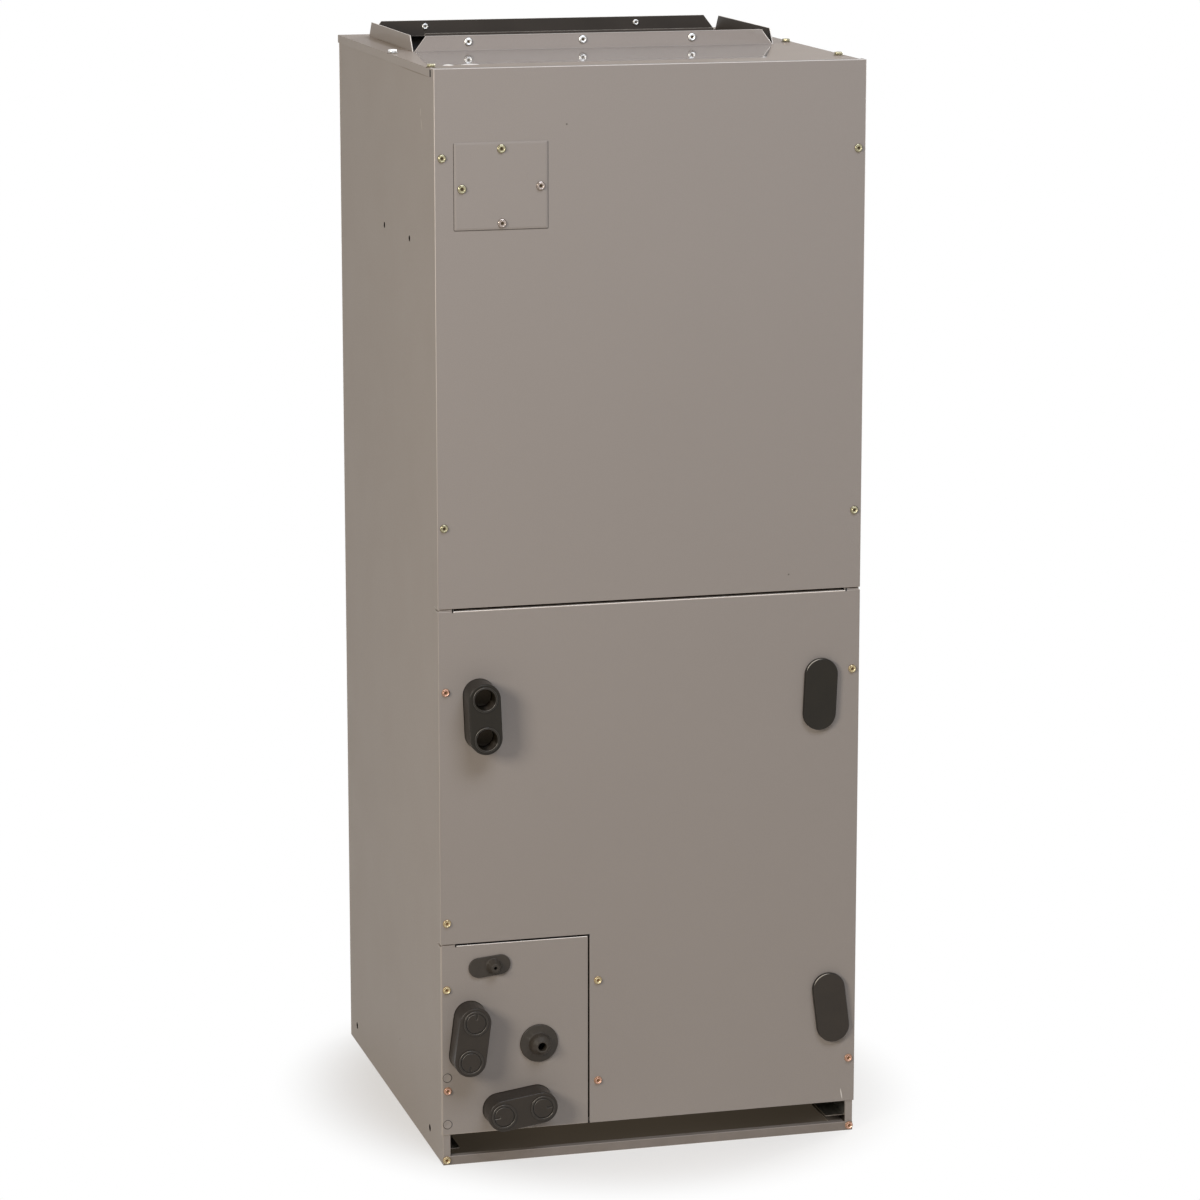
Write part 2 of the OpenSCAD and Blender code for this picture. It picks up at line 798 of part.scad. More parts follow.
// The scroll in Y and Z from the front of its neck round to the back, taken in by a wall
function scroll_path(wall) = let (
        r = scroll_r - wall,
        front = outlet_front - shaft_y,
        back = outlet_y - shaft_y - wall,
        top = deck_under - shaft_z)
    concat([[front + wall, top]], wall > 0 ? [[front + wall, r]] : [],
        quarter([front, 0], r, 90), quarter([front + scroll_step, 0], r + scroll_step, 180),
        quarter([front + scroll_step, scroll_step], r + 2 * scroll_step, 270),
        [[back, scroll_step], [back, top]]);

// A list from its last item to its first
function reverse(list) = [for (i = [len(list) - 1:-1:0]) list[i]];

// Turns an outline in Y and Z into sheet that lies across the blower from x to x + t
module across(x, t) {
    translate([x, shaft_y, shaft_z]) rotate([90, 0, 90]) linear_extrude(t) children();
}

module blower_wrap() {
    width = blower_w - 2 * sheet_t;
    color(zinc) in_place() across(-width / 2, width)
        polygon(concat(scroll_path(0), reverse(scroll_path(sheet_t))));
}

// The right cheek of the housing with the rolled edge of its air inlet
module blower_cheek() {
    color(zinc) in_place() {
        across(half_w - sheet_t, sheet_t) difference() {
            polygon(scroll_path(0));
            circle(r = inlet_r + inlet_roll);
        }
        translate([half_w, shaft_y, shaft_z]) rotate([0, -90, 0]) rotate_extrude()
            translate([inlet_r + inlet_roll, 0]) intersection() {
                difference() {
                    translate([0, inlet_roll]) circle(r = inlet_roll);
                    translate([0, inlet_roll]) circle(r = inlet_roll - sheet_t);
                }
                translate([-inlet_roll, 0]) square(inlet_roll);
            }
    }
}

module blower_side_right() {
    blower_cheek();
}

module blower_side_left() {
    mirror([1, 0, 0]) blower_cheek();
}

// One forward curved blade: a strip whose angle turns from its root to its tip
module blade() {
    steps = 4;
    root = wheel_r - blade_l;
    function mid(i) = let (s = i / steps, r = root + s * blade_l, a = 14 * s * s)
        [r * cos(a), r * sin(a)];
    thick = sheet_t;
    polygon(concat([for (i = [0:steps]) mid(i)], [for (i = [steps:-1:0]) mid(i) + [0, thick]]));
}

module blower_wheel() {
    ring_t = 6;
    hub_r = 3 * shaft_r;
    color(zinc) in_place() {
        across(-wheel_l / 2, wheel_l) for (i = [0:blade_count - 1]) rotate(i * 360 / blade_count) blade();
        for (x = [-wheel_l / 2, wheel_l / 2 - ring_t]) across(x, ring_t) difference() {
            circle(r = wheel_r + sheet_t);
            circle(r = wheel_r - ring_t);
        }
        across(-sheet_t, 2 * sheet_t) difference() {
            circle(r = wheel_r - ring_t);
            circle(r = shaft_r + running_gap);
        }
        across(-hub_r, 2 * hub_r) difference() {
            circle(r = hub_r);
            circle(r = shaft_r + running_gap);
        }
    }
}

module blower_motor() {
    crown = motor_r / 6;
    color(zinc) in_place() {
        across(motor_x + crown, motor_l - 2 * crown) circle(r = motor_r);
        across(motor_x, motor_l) circle(r = motor_r - crown);
        across(-3 * shaft_r, motor_x + 3 * shaft_r + crown) circle(r = shaft_r);
    }
}

// A band round the motor with arms that are bolted to the right cheek
module motor_bracket() {
    band_r = motor_r + running_gap;
    reach = inlet_r + inlet_roll + arm_w;
    color(zinc) in_place() across(half_w, arm_w / 2) difference() {
        union() {
            circle(r = band_r + 2 * sheet_t);
            for (i = [0:arm_count - 1]) rotate(90 + i * 360 / arm_count)
                translate([0, -arm_w / 2]) square([reach, arm_w]);
        }
        circle(r = band_r);
    }
}

left_side();
right_side();
back_panel();
top_panel();
base_rail();
slot_rail();
panel_frame();
middle_rail();
upper_door();
lower_door();
fitting_panel();
breaker_cover();
duct_flange_front();
duct_flange_back();
duct_flange_left();
duct_flange_right();
flange_backing();
drain_boss_upper();
drain_boss_left();
drain_boss_lower();
plug_upper();
plug_lower();
line_grommet_round();
line_grommet_small();
liner_left();
liner_right();
liner_back();
filter_rail_left();
filter_rail_right();
drain_pan();
side_pan();
coil_left();
coil_right();
coil_plate_front();
coil_plate_back();
coil_cap();
blower_deck();
blower_wrap();
blower_side_left();
blower_side_right();
blower_wheel();
blower_motor();
motor_bracket();
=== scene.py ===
"""Looks of an upright air handling unit: a painted sheet steel casing with two screwed doors,
a fitting panel with drain and line fittings, a filter slot and a flanged supply opening."""
import math

import bmesh
import bpy
import numpy as np
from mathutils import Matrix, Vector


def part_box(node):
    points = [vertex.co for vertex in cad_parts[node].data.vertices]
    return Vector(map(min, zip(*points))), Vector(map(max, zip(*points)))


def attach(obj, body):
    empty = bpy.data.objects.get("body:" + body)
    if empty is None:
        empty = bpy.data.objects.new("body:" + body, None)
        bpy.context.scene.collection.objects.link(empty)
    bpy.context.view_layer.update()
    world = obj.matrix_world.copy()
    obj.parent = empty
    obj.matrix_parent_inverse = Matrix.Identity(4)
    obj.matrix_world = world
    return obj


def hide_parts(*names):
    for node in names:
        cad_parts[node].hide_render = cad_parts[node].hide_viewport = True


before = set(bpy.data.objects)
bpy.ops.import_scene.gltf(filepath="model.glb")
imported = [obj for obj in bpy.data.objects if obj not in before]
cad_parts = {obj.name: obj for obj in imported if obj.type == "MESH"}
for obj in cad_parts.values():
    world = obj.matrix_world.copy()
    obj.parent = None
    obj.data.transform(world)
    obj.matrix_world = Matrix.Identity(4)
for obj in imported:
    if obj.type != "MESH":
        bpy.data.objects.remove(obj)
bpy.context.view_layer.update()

# Camera
# A long lens a little above the top of the unit and to its left, as for a catalogue picture.
# Its place and lens follow the corners of the casing in the photograph.
camera = bpy.data.objects.new("camera", bpy.data.cameras.new("camera"))
bpy.context.scene.collection.objects.link(camera)
camera.data.sensor_width = 36
camera.data.lens = 130.07
camera.data.clip_end = 60
camera.location = (-1.4084, -5.267, 1.789)
look_down, look_right = 11.798, 15.022
camera.rotation_euler = (math.radians(90 - look_down), 0, math.radians(-look_right))
bpy.context.scene.camera = camera
bpy.context.scene.view_settings.view_transform = "Standard"


# Studio
# A pale floor and plain soft light: one large lamp in front at the left, a little above the
# unit, one overhead and a weaker one behind. The background is white to the eye.
def srgb(code):
    """Linear red, green, blue and alpha of an sRGB hex colour."""
    c = np.array([int(code[i:i + 2], 16) for i in (1, 3, 5)]) / 255
    return (*np.where(c <= 0.04045, c / 12.92, ((c + 0.055) / 1.055) ** 2.4), 1.0)


def put(tree, kind, inputs=(), **settings):
    """Adds a node. Settings are its own fields; inputs name a socket and give it a value,
    or the socket that feeds it."""
    node = tree.nodes.new("ShaderNode" + kind)
    for field, value in settings.items():
        setattr(node, field, value)
    for socket, value in dict(inputs).items():
        if isinstance(value, bpy.types.NodeSocket):
            tree.links.new(value, node.inputs[socket])
        else:
            node.inputs[socket].default_value = value
    return node


def lamp(name, place, aim, width, height, power, tint):
    """A soft rectangular lamp at a place, turned to face the point it is aimed at."""
    light = bpy.data.objects.new(name, bpy.data.lights.new(name, "AREA"))
    light.data.shape = "RECTANGLE"
    light.data.size, light.data.size_y = width, height
    light.data.energy = power
    light.data.color = srgb(tint)[:3]
    light.location = place
    way = light.location.copy()
    way.xyz = [a - p for a, p in zip(aim, place)]
    light.rotation_euler = way.to_track_quat("-Z", "Y").to_euler()
    bpy.context.scene.collection.objects.link(light)


lamp("key_lamp", (-3.98, -3.4, 2.45), (-0.1, -0.26, 1.0), 1.6, 1.6, 151, "#fff6ea")
lamp("top_lamp", (0.4, -2.6, 3.6), (0, -0.26, 1.2), 2.2, 1.4, 75, "#e3edff")
lamp("back_lamp", (2.9, 2.2, 2.0), (0.1, 0.2, 0.8), 2.0, 2.0, 84, "#ffffff")


def shown_to_eye(tree):
    """One for the camera's own rays and for those that come by a mirror or through glass, or else
    nought."""
    rays = put(tree, "LightPath").outputs
    shown = put(tree, "Math", {0: rays["Is Camera Ray"], 1: rays["Is Glossy Ray"]},
                operation="MAXIMUM")
    return put(tree, "Math", {0: shown.outputs[0], 1: rays["Is Transmission Ray"]},
               operation="MAXIMUM")


world = bpy.data.worlds.new("studio")
bpy.context.scene.world = world
world.use_nodes = True
tree = world.node_tree
tree.nodes.clear()
ambient = put(tree, "Background", {"Color": srgb("#f4ede4"), "Strength": 0.19})
white = put(tree, "Background", {"Color": (1, 1, 1, 1), "Strength": 1.0})
mixed = put(tree, "MixShader", {0: shown_to_eye(tree).outputs[0], 1: ambient.outputs[0],
                                2: white.outputs[0]})
put(tree, "OutputWorld", {"Surface": mixed.outputs[0]})


def grid_faces(rows, cols, closed=False):
    """Quads of a grid of points, row by row; a closed grid joins its last column to its first."""
    r = np.arange(rows - 1)[:, None] * cols
    c = np.arange(cols if closed else cols - 1)[None, :]
    n = (c + 1) % cols
    return np.stack([r + c, r + n, r + cols + n, r + cols + c], -1).reshape(-1, 4)


def mesh_piece(name, points, faces, *finishes, smooth=True, bands=None):
    """An object at the origin with these points and faces, and its finishes in order. Bands give
    each face the number of its finish."""
    mesh = bpy.data.meshes.new(name)
    mesh.from_pydata(np.reshape(points, (-1, 3)), [], [list(face) for face in faces])
    for finish in finishes:
        mesh.materials.append(finish)
    mesh.polygons.foreach_set("use_smooth", np.full(len(mesh.polygons), smooth))
    if bands is not None:
        mesh.polygons.foreach_set("material_index", np.asarray(bands, np.int32))
    shape = bmesh.new()
    shape.from_mesh(mesh)
    bmesh.ops.remove_doubles(shape, verts=shape.verts, dist=1e-7)
    bmesh.ops.recalc_face_normals(shape, faces=shape.faces)
    shape.to_mesh(mesh)
    shape.free()
    thing = bpy.data.objects.new(name, mesh)
    bpy.context.scene.collection.objects.link(thing)
    return thing


def new_finish(name):
    """A new material, with its node tree and its Principled shader."""
    finish = bpy.data.materials.new(name)
    finish.use_nodes = True
    return finish, finish.node_tree, finish.node_tree.nodes["Principled BSDF"]


# The floor is white to the eye away from the unit; close to it the matt board shows through a
# white glow of almost half strength, painted light that thins its shadow. Under the unit it is
# drawn dark, painted shade, and that is what the filter slot shows.
dark_patch_half = 0.262
shade_start, shade_end = 0.27, 0.43
floor_board, tree, shader = new_finish("white_matt_board")
shader.inputs["Roughness"].default_value = 0.9
place = put(tree, "TexCoord")
span = put(tree, "VectorMath", {0: place.outputs["Object"]}, operation="ABSOLUTE")
span = put(tree, "SeparateXYZ", {0: span.outputs[0]})
dark_patch = put(tree, "Math", {0: span.outputs["X"], 1: span.outputs["Y"]}, operation="MAXIMUM")
dark_patch = put(tree, "Math", {0: dark_patch.outputs[0], 1: dark_patch_half}, operation="LESS_THAN")
tone = put(tree, "Mix", {0: dark_patch.outputs[0], 6: srgb("#f4f0e9"), 7: srgb("#1d1914")},
           data_type="RGBA")
far = put(tree, "VectorMath", {0: place.outputs["Object"], 1: (1.0, 0.9, 0.0)},
          operation="MULTIPLY")
far = put(tree, "VectorMath", {0: far.outputs[0]}, operation="LENGTH")
far = put(tree, "MapRange", {"Value": far.outputs["Value"], "From Min": shade_start,
                             "From Max": shade_end}, interpolation_type="SMOOTHSTEP")
tone = put(tree, "Mix", {0: far.outputs[0], 6: tone.outputs[2], 7: srgb("#cfc8be")},
           data_type="RGBA")
tree.links.new(tone.outputs[2], shader.inputs["Base Color"])
# Near the unit the floor still glows at almost half of the white: painted light over its shadow.
white_over_shadow = put(tree, "MapRange", {"Value": far.outputs[0], "To Min": 0.45})
shown = put(tree, "Math", {0: shown_to_eye(tree).outputs[0], 1: white_over_shadow.outputs[0]},
            operation="MULTIPLY")
shown = put(tree, "Math", {0: shown.outputs[0], 1: dark_patch.outputs[0]}, operation="SUBTRACT",
            use_clamp=True)
bright = put(tree, "Emission", {"Color": (1, 1, 1, 1), "Strength": 1.0})
mixed = put(tree, "MixShader", {0: shown.outputs[0], 1: shader.outputs[0], 2: bright.outputs[0]})
tree.links.new(mixed.outputs[0], tree.nodes["Material Output"].inputs["Surface"])

# The patch under the unit also glows dimly, a painted light, fading towards both ends.
shader.inputs["Emission Color"].default_value = srgb("#393229")
side = put(tree, "SeparateXYZ", {0: place.outputs["Object"]})
painted_glow = dark_patch.outputs[0]
for start, end, low, top in [(0.04, 0.24, 1.0, 0.8), (-0.27, -0.1, 0.5, 1.0)]:
    dim = put(tree, "MapRange", {"Value": side.outputs["X"], "From Min": start, "From Max": end,
                                 "To Min": low, "To Max": top})
    painted_glow = put(tree, "Math", {0: painted_glow, 1: dim.outputs[0]}, operation="MULTIPLY").outputs[0]
tree.links.new(painted_glow, shader.inputs["Emission Strength"])
floor_edge = np.linspace(-9, 9, 13)
floor_x, floor_y = np.meshgrid(floor_edge, floor_edge)
just_below = 0.0002
floor = mesh_piece("floor", np.stack([floor_x, floor_y, 0 * floor_x - just_below], -1),
                   grid_faces(len(floor_edge), len(floor_edge)), floor_board, smooth=False)

# Casing walls
# Side walls and back are galvanised steel sheet, coated before it is folded: taupe polyester
# outside, a dark thin primer inside. Folds show a rounded bright line, a painted highlight;
# sheared edges are bare zinc.
front_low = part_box("upper_door")[0]


def at(x, y, z):
    """Metres in the part's frame of a place given in millimetres from the left edge of the
    casing, from the door faces and from the floor."""
    x, y, z = np.broadcast_arrays(np.asarray(x, float), np.asarray(y, float), np.asarray(z, float))
    return np.stack([x / 1000 + front_low.x, y / 1000 + front_low.y, z / 1000], -1)


def per_metre(millimetres):
    """The scale of a pattern whose grains, cells or waves are this wide."""
    return 1000 / millimetres


# Polyester coil coating: even satin colour, a very fine orange peel from the roller, and the
# slow waves of a large thin sheet, which bend its soft reflections. The specks and the peel are
# drawn at 1 and 2 mm, coarser than the real ones, so that they show.
def coil_coating(name, gloss, marks=()):
    """The coating with a clear gloss of this weight. A mark is an ellipsoid with a colour, a
    centre, half axes and turns about X and Y in degrees; where it meets the sheet the coating is
    scratched bare, scuffed pale, flecked or soiled, or darkened as painted shade."""
    finish, tree, shader = new_finish(name)
    place = put(tree, "TexCoord").outputs["Object"]
    drift = put(tree, "TexNoise", {"Vector": place, "Scale": per_metre(333), "Detail": 2.0})
    tone = put(tree, "Mix", {0: drift.outputs[0], 6: srgb("#958d86"), 7: srgb("#989089")},
               data_type="RGBA")
    speck = put(tree, "TexNoise", {"Vector": place, "Scale": per_metre(1.11), "Detail": 1.0})
    speck = put(tree, "MapRange", {"Value": speck.outputs[0], "From Min": 0.3, "From Max": 0.7,
                                   "To Min": 0.97, "To Max": 1.03})
    tone = put(tree, "Mix", {0: 1.0, 6: tone.outputs[2], 7: speck.outputs[0]},
               data_type="RGBA", blend_type="MULTIPLY")
    for colour, centre, half_axes, *turns in marks:
        spot = put(tree, "Mapping", {"Vector": place, "Location": centre, "Scale": half_axes,
                                     "Rotation": (*np.radians(turns), 0)}, vector_type="TEXTURE")
        spot = put(tree, "VectorMath", {0: spot.outputs[0]}, operation="LENGTH")
        spot = put(tree, "MapRange", {"Value": spot.outputs["Value"], "From Min": 0.6,
                                      "From Max": 1.0, "To Min": 1.0, "To Max": 0.0})
        tone = put(tree, "Mix", {0: spot.outputs[0], 6: tone.outputs[2], 7: srgb(colour)},
                   data_type="RGBA")
    tree.links.new(tone.outputs[2], shader.inputs["Base Color"])
    smear = put(tree, "TexNoise", {"Vector": place, "Scale": per_metre(71.4), "Detail": 3.0})
    smear = put(tree, "MapRange", {"Value": smear.outputs[0], "From Min": 0.3, "From Max": 0.7,
                                   "To Min": 0.60, "To Max": 0.64})
    tree.links.new(smear.outputs[0], shader.inputs["Roughness"])
    wave = put(tree, "TexNoise", {"Vector": place, "Scale": per_metre(222), "Detail": 1.0})
    wave = put(tree, "Bump", {"Height": wave.outputs[0], "Strength": 0.3, "Distance": 0.0015})
    peel = put(tree, "TexNoise", {"Vector": place, "Scale": per_metre(2.38), "Detail": 2.0})
    peel = put(tree, "Bump", {"Height": peel.outputs[0], "Strength": 0.10, "Distance": 0.0004,
                              "Normal": wave.outputs[0]})
    tree.links.new(peel.outputs[0], shader.inputs["Normal"])
    shader.inputs["Specular IOR Level"].default_value = 0.25
    shader.inputs["Coat Weight"].default_value = gloss
    shader.inputs["Coat Roughness"].default_value = 0.04
    return finish


# A scratch at the lower right, two rubs and some flecks; then painted shade in the joints: dark
# lines under the lip of the top and in the ends of the seams, where the gaps lie in shadow.
seam = front_low.z * 1000
panel_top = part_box("fitting_panel")[1].z * 1000
coil_coat = coil_coating("polyester_coil_coat", 0.05, [
    ("#d9d3cb", at(520.2, 0, 49), (0.0008, 0.004, 0.0085), 0, -10),
    ("#aca299", at(0, 79, 1299), (0.004, 0.0022, 0.0065), 0, 0),
    ("#aca299", at(0, 74, 1284), (0.004, 0.0022, 0.0105), -23, 0),
    ("#6a625b", at(162, 0, 1288), (0.0014, 0.004, 0.0014), 0, 0),
    ("#6a625b", at(444, 0, 726), (0.0013, 0.004, 0.0013), 0, 0),
    ("#6a625b", at(0, 246, 89), (0.004, 0.0018, 0.0018), 0, 0),
    ("#81776c", at(0, 110, 1344.9), (0.004, 0.105, 0.0014), 0, 0),
    ("#685f56", at(9, 1.2, seam - 0.8), (0.0098, 0.004, 0.0011), 0, 0),
    ("#3f3832", at(528, 1.2, seam - 0.8), (0.0098, 0.004, 0.0011), 0, 0),
    ("#564d45", at(9.5, 1.2, panel_top + 1.7), (0.0098, 0.004, 0.001), 0, 0)])

# The same coating over a fold: the press brake stretches and burnishes it a little paler, and it
# is drawn paler still as a painted highlight, a bright line along the edge, brightest at the top
# of the unit and on edges that face up.
fold_highlight_coat, tree, shader = new_finish("polyester_coat_at_fold_painted_highlight")
place = put(tree, "TexCoord").outputs["Object"]
rub = put(tree, "TexNoise", {"Vector": place, "Scale": per_metre(33.3), "Detail": 2.0})
rub = put(tree, "Mix", {0: rub.outputs[0], 6: srgb("#d2c7bd"), 7: srgb("#dcd2c8")},
          data_type="RGBA")
high = put(tree, "SeparateXYZ", {0: place})
high = put(tree, "MapRange", {"Value": high.outputs["Z"], "From Min": 0.75, "From Max": 1.25})
rub = put(tree, "Mix", {0: high.outputs[0], 6: srgb("#a3998f"), 7: rub.outputs[2]},
          data_type="RGBA")
# Edges that face up are drawn brighter still: painted highlight.
upper = put(tree, "SeparateXYZ", {0: put(tree, "NewGeometry").outputs["True Normal"]})
upper = put(tree, "MapRange", {"Value": upper.outputs["Z"], "From Min": 0.15, "From Max": 0.6})
upper = put(tree, "Math", {0: upper.outputs[0], 1: high.outputs[0]}, operation="MULTIPLY")
rub = put(tree, "Mix", {0: upper.outputs[0], 6: rub.outputs[2], 7: srgb("#ece6df")},
          data_type="RGBA")
tree.links.new(rub.outputs[2], shader.inputs["Base Color"])
shader.inputs["Roughness"].default_value = 0.35

# Epoxy backer coat: a thin dark wash over the zinc, duller than the outside.
backer_coat, tree, shader = new_finish("epoxy_backer_coat")
place = put(tree, "TexCoord").outputs["Object"]
wash = put(tree, "TexNoise", {"Vector": place, "Scale": per_metre(45.5), "Detail": 4.0})
wash = put(tree, "Mix", {0: wash.outputs[0], 6: srgb("#37322d"), 7: srgb("#453f39")},
           data_type="RGBA")
tree.links.new(wash.outputs[2], shader.inputs["Base Color"])
shader.inputs["Roughness"].default_value = 0.5
shader.inputs["Specular IOR Level"].default_value = 0.25

# Sheared zinc edge: where the blank was cut, bare steel between two coats of zinc.
zinc_edge, tree, shader = new_finish("sheared_zinc_edge")
place = put(tree, "TexCoord").outputs["Object"]
burr = put(tree, "TexNoise", {"Vector": place, "Scale": per_metre(6.25), "Detail": 2.0})
burr = put(tree, "Mix", {0: burr.outputs[0], 6: srgb("#c4bab0"), 7: srgb("#e3dacf")},
           data_type="RGBA")
tree.links.new(burr.outputs[2], shader.inputs["Base Color"])
shader.inputs["Metallic"].default_value = 0.6
shader.inputs["Roughness"].default_value = 0.42


def dressed(node, finishes, bend=2.2, eased=0.25, strip=1.6, heart=(0, 0)):
    """A copy of a CAD piece with its edges as they are made. Loose triangles are merged and flat
    faces joined. A convex edge between two broad faces is a fold and gets the bend radius; one
    beside a face narrower than the strip is a sheared edge and is only eased. The finishes are
    the outer side, the side that faces the heart of the unit, the sheared edges and the folds.
    A strip of zero is for a moulded piece, which is smooth all over."""
    shape = bmesh.new()
    shape.from_mesh(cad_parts[node].data)
    bmesh.ops.remove_doubles(shape, verts=shape.verts, dist=1e-6)
    bmesh.ops.dissolve_limit(shape, angle_limit=math.radians(0.2), verts=shape.verts,
                             edges=shape.edges)
    weight = shape.edges.layers.float.new("bevel_weight_edge")
    shape.faces.index_update()
    # A long face is as wide as twice its area over its perimeter, here in millimetres.
    narrow = [2000 * face.calc_area() / face.calc_perimeter() < strip
              and all(edge.calc_face_angle(1) > 0.02 for edge in face.edges)
              for face in shape.faces]
    sharp = math.radians(40)
    for edge in shape.edges:
        if len(edge.link_faces) == 2 and edge.calc_face_angle_signed() > sharp:
            rim = any(narrow[face.index] for face in edge.link_faces)
            edge[weight] = eased / bend if rim else 1.0
    for face in shape.faces:
        # The facets of a curve meet at a slight angle, and are shaded as one.
        curved = any(0.01 < edge.calc_face_angle(0) < 0.6 for edge in face.edges)
        face.smooth = strip == 0 or curved
        middle = face.calc_center_median()
        inward = (face.normal.x * (heart[0] - middle.x)
                  + face.normal.y * (heart[1] - middle.y)) > 1e-4
        face.material_index = min(2 if narrow[face.index] else int(inward), len(finishes) - 1)
    mesh = bpy.data.meshes.new(node + "_dressed")
    shape.to_mesh(mesh)
    shape.free()
    for finish in finishes:
        mesh.materials.append(finish)
    thing = bpy.data.objects.new(node + "_dressed", mesh)
    bpy.context.scene.collection.objects.link(thing)
    folds = thing.modifiers.new("folds", "BEVEL")
    folds.limit_method = "WEIGHT"
    folds.width = bend / 1000
    folds.segments = 4
    if len(finishes) > 3:
        folds.material = 3
    if strip == 0:
        thing.modifiers.new("flats", "WEIGHTED_NORMAL").weight = 60
    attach(thing, "root")
    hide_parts(node)


coated = (coil_coat, backer_coat, zinc_edge, fold_highlight_coat)
for wall in ("left_side", "right_side", "back_panel"):
    dressed(wall, coated)

# Fixing holes in both sides, punched through the coated sheet. Each is filled with painted shade
# so that it looks black: a thin black cup, turned about the middle of the hole.
hole_shade, tree, shader = new_finish("painted_shade_in_hole")
shader.inputs["Base Color"].default_value = srgb("#120d0a")
shader.inputs["Roughness"].default_value = 1.0
shader.inputs["Specular IOR Level"].default_value = 0.1
turn = np.linspace(0, 2 * np.pi, 28, endpoint=False)
hole_number = 0
for wall, corner, way in [("left_side", 0, 1), ("right_side", 1, -1)]:
    wall_face = (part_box(wall)[corner].x - front_low.x) * 1000
    for y, z, hole in [(147, 1139, 3.3), (290.5, 1139, 3.3), (74, 25, 4.0), (517, 25, 4.0)]:
        cup = np.array([[0, 9], [hole - 0.3, 9], [hole - 0.1, 1.4], [hole - 0.1, -0.06],
                        [hole + 0.45, -0.06], [hole + 0.45, 0.02], [hole - 0.02, 0.02],
                        [hole - 0.02, 9.4], [0, 9.4]])
        ring, depth = cup.T[:, :, None]
        points = at(wall_face + way * depth, y + ring * np.cos(turn), z + ring * np.sin(turn))
        rim = mesh_piece("fixing_hole_shade_%d" % hole_number, points,
                         grid_faces(len(cup), len(turn), closed=True), hole_shade, smooth=False)
        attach(rim, "root")
        hole_number += 1

# Insulation
# Glass fibre mat with a black fleece face, glued to the walls and the back. It is quilted by its
# glue and tufted, so it swallows light but for a faint sheen of loose fibres; tufts show at 4 mm.
fibre_mat, tree, shader = new_finish("black_glass_fibre_mat")
place = put(tree, "TexCoord").outputs["Object"]
tuft = put(tree, "TexNoise", {"Vector": place, "Scale": per_metre(3.85), "Detail": 6.0,
                              "Roughness": 0.7})
tone = put(tree, "Mix", {0: tuft.outputs[0], 6: srgb("#262423"), 7: srgb("#403d3a")},
           data_type="RGBA")
tree.links.new(tone.outputs[2], shader.inputs["Base Color"])
shader.inputs["Roughness"].default_value = 0.95
shader.inputs["Sheen Weight"].default_value = 0.3
quilt = put(tree, "TexNoise", {"Vector": place, "Scale": per_metre(33.3), "Detail": 2.0})
nap = put(tree, "Bump", {"Height": quilt.outputs[0], "Strength": 0.6, "Distance": 0.004})
nap = put(tree, "Bump", {"Height": tuft.outputs[0], "Strength": 0.6, "Distance": 0.002,
                         "Normal": nap.outputs[0]})
tree.links.new(nap.outputs[0], shader.inputs["Normal"])
for mat in ("liner_left", "liner_right", "liner_back"):
    dressed(mat, (fibre_mat,), bend=3.0)

# Filter rails and rails behind the doors
# Channels of bare galvanised sheet inside, and painted or primed strips behind the doors.
# Hot dip zinc freezes in crystals, so each spangle has its own grey and gloss.
galvanised, tree, shader = new_finish("hot_dip_galvanised_sheet")
place = put(tree, "TexCoord").outputs["Object"]
spangle = put(tree, "TexVoronoi", {"Vector": place, "Scale": per_metre(9.09), "Randomness": 1.0})
tone = put(tree, "Mix", {0: spangle.outputs["Color"], 6: srgb("#95928c"), 7: srgb("#b9b6af")},
           data_type="RGBA")
tree.links.new(tone.outputs[2], shader.inputs["Base Color"])
gloss = put(tree, "MapRange", {"Value": spangle.outputs["Color"], "To Min": 0.34, "To Max": 0.52})
tree.links.new(gloss.outputs[0], shader.inputs["Roughness"])
shader.inputs["Metallic"].default_value = 0.85
for rail in ("filter_rail_left", "filter_rail_right"):
    dressed(rail, (galvanised, galvanised, zinc_edge), bend=1.6)
dressed("slot_rail", (backer_coat, backer_coat, zinc_edge), bend=1.6)

# The rails behind the seams are drawn as a near black foam gasket, which the doors press on:
# painted shade, so that the seams look black.
foam_gasket_as_shade, tree, shader = new_finish("black_foam_gasket")
place = put(tree, "TexCoord").outputs["Object"]
pores = put(tree, "TexVoronoi", {"Vector": place, "Scale": per_metre(1.43)})
tone = put(tree, "Mix", {0: pores.outputs["Distance"], 6: srgb("#120d0a"), 7: srgb("#1d1612")},
           data_type="RGBA")
tree.links.new(tone.outputs[2], shader.inputs["Base Color"])
shader.inputs["Roughness"].default_value = 0.95
shader.inputs["Specular IOR Level"].default_value = 0.1
for rail in ("middle_rail", "panel_frame"):
    dressed(rail, (foam_gasket_as_shade,), bend=1.6)

# The base rail is coated too, but drawn darker than the walls.
darker_rail_coat, tree, shader = new_finish("darkened_polyester_coil_coat")
place = put(tree, "TexCoord").outputs["Object"]
scuff = put(tree, "TexNoise", {"Vector": place, "Scale": per_metre(22.2), "Detail": 5.0,
                               "Roughness": 0.6})
scuff = put(tree, "Mix", {0: scuff.outputs[0], 6: srgb("#736a61"), 7: srgb("#857c74")},
            data_type="RGBA")
tree.links.new(scuff.outputs[2], shader.inputs["Base Color"])
shader.inputs["Roughness"].default_value = 0.55
dressed("base_rail", (darker_rail_coat, darker_rail_coat, zinc_edge, coil_coat), bend=1.0)

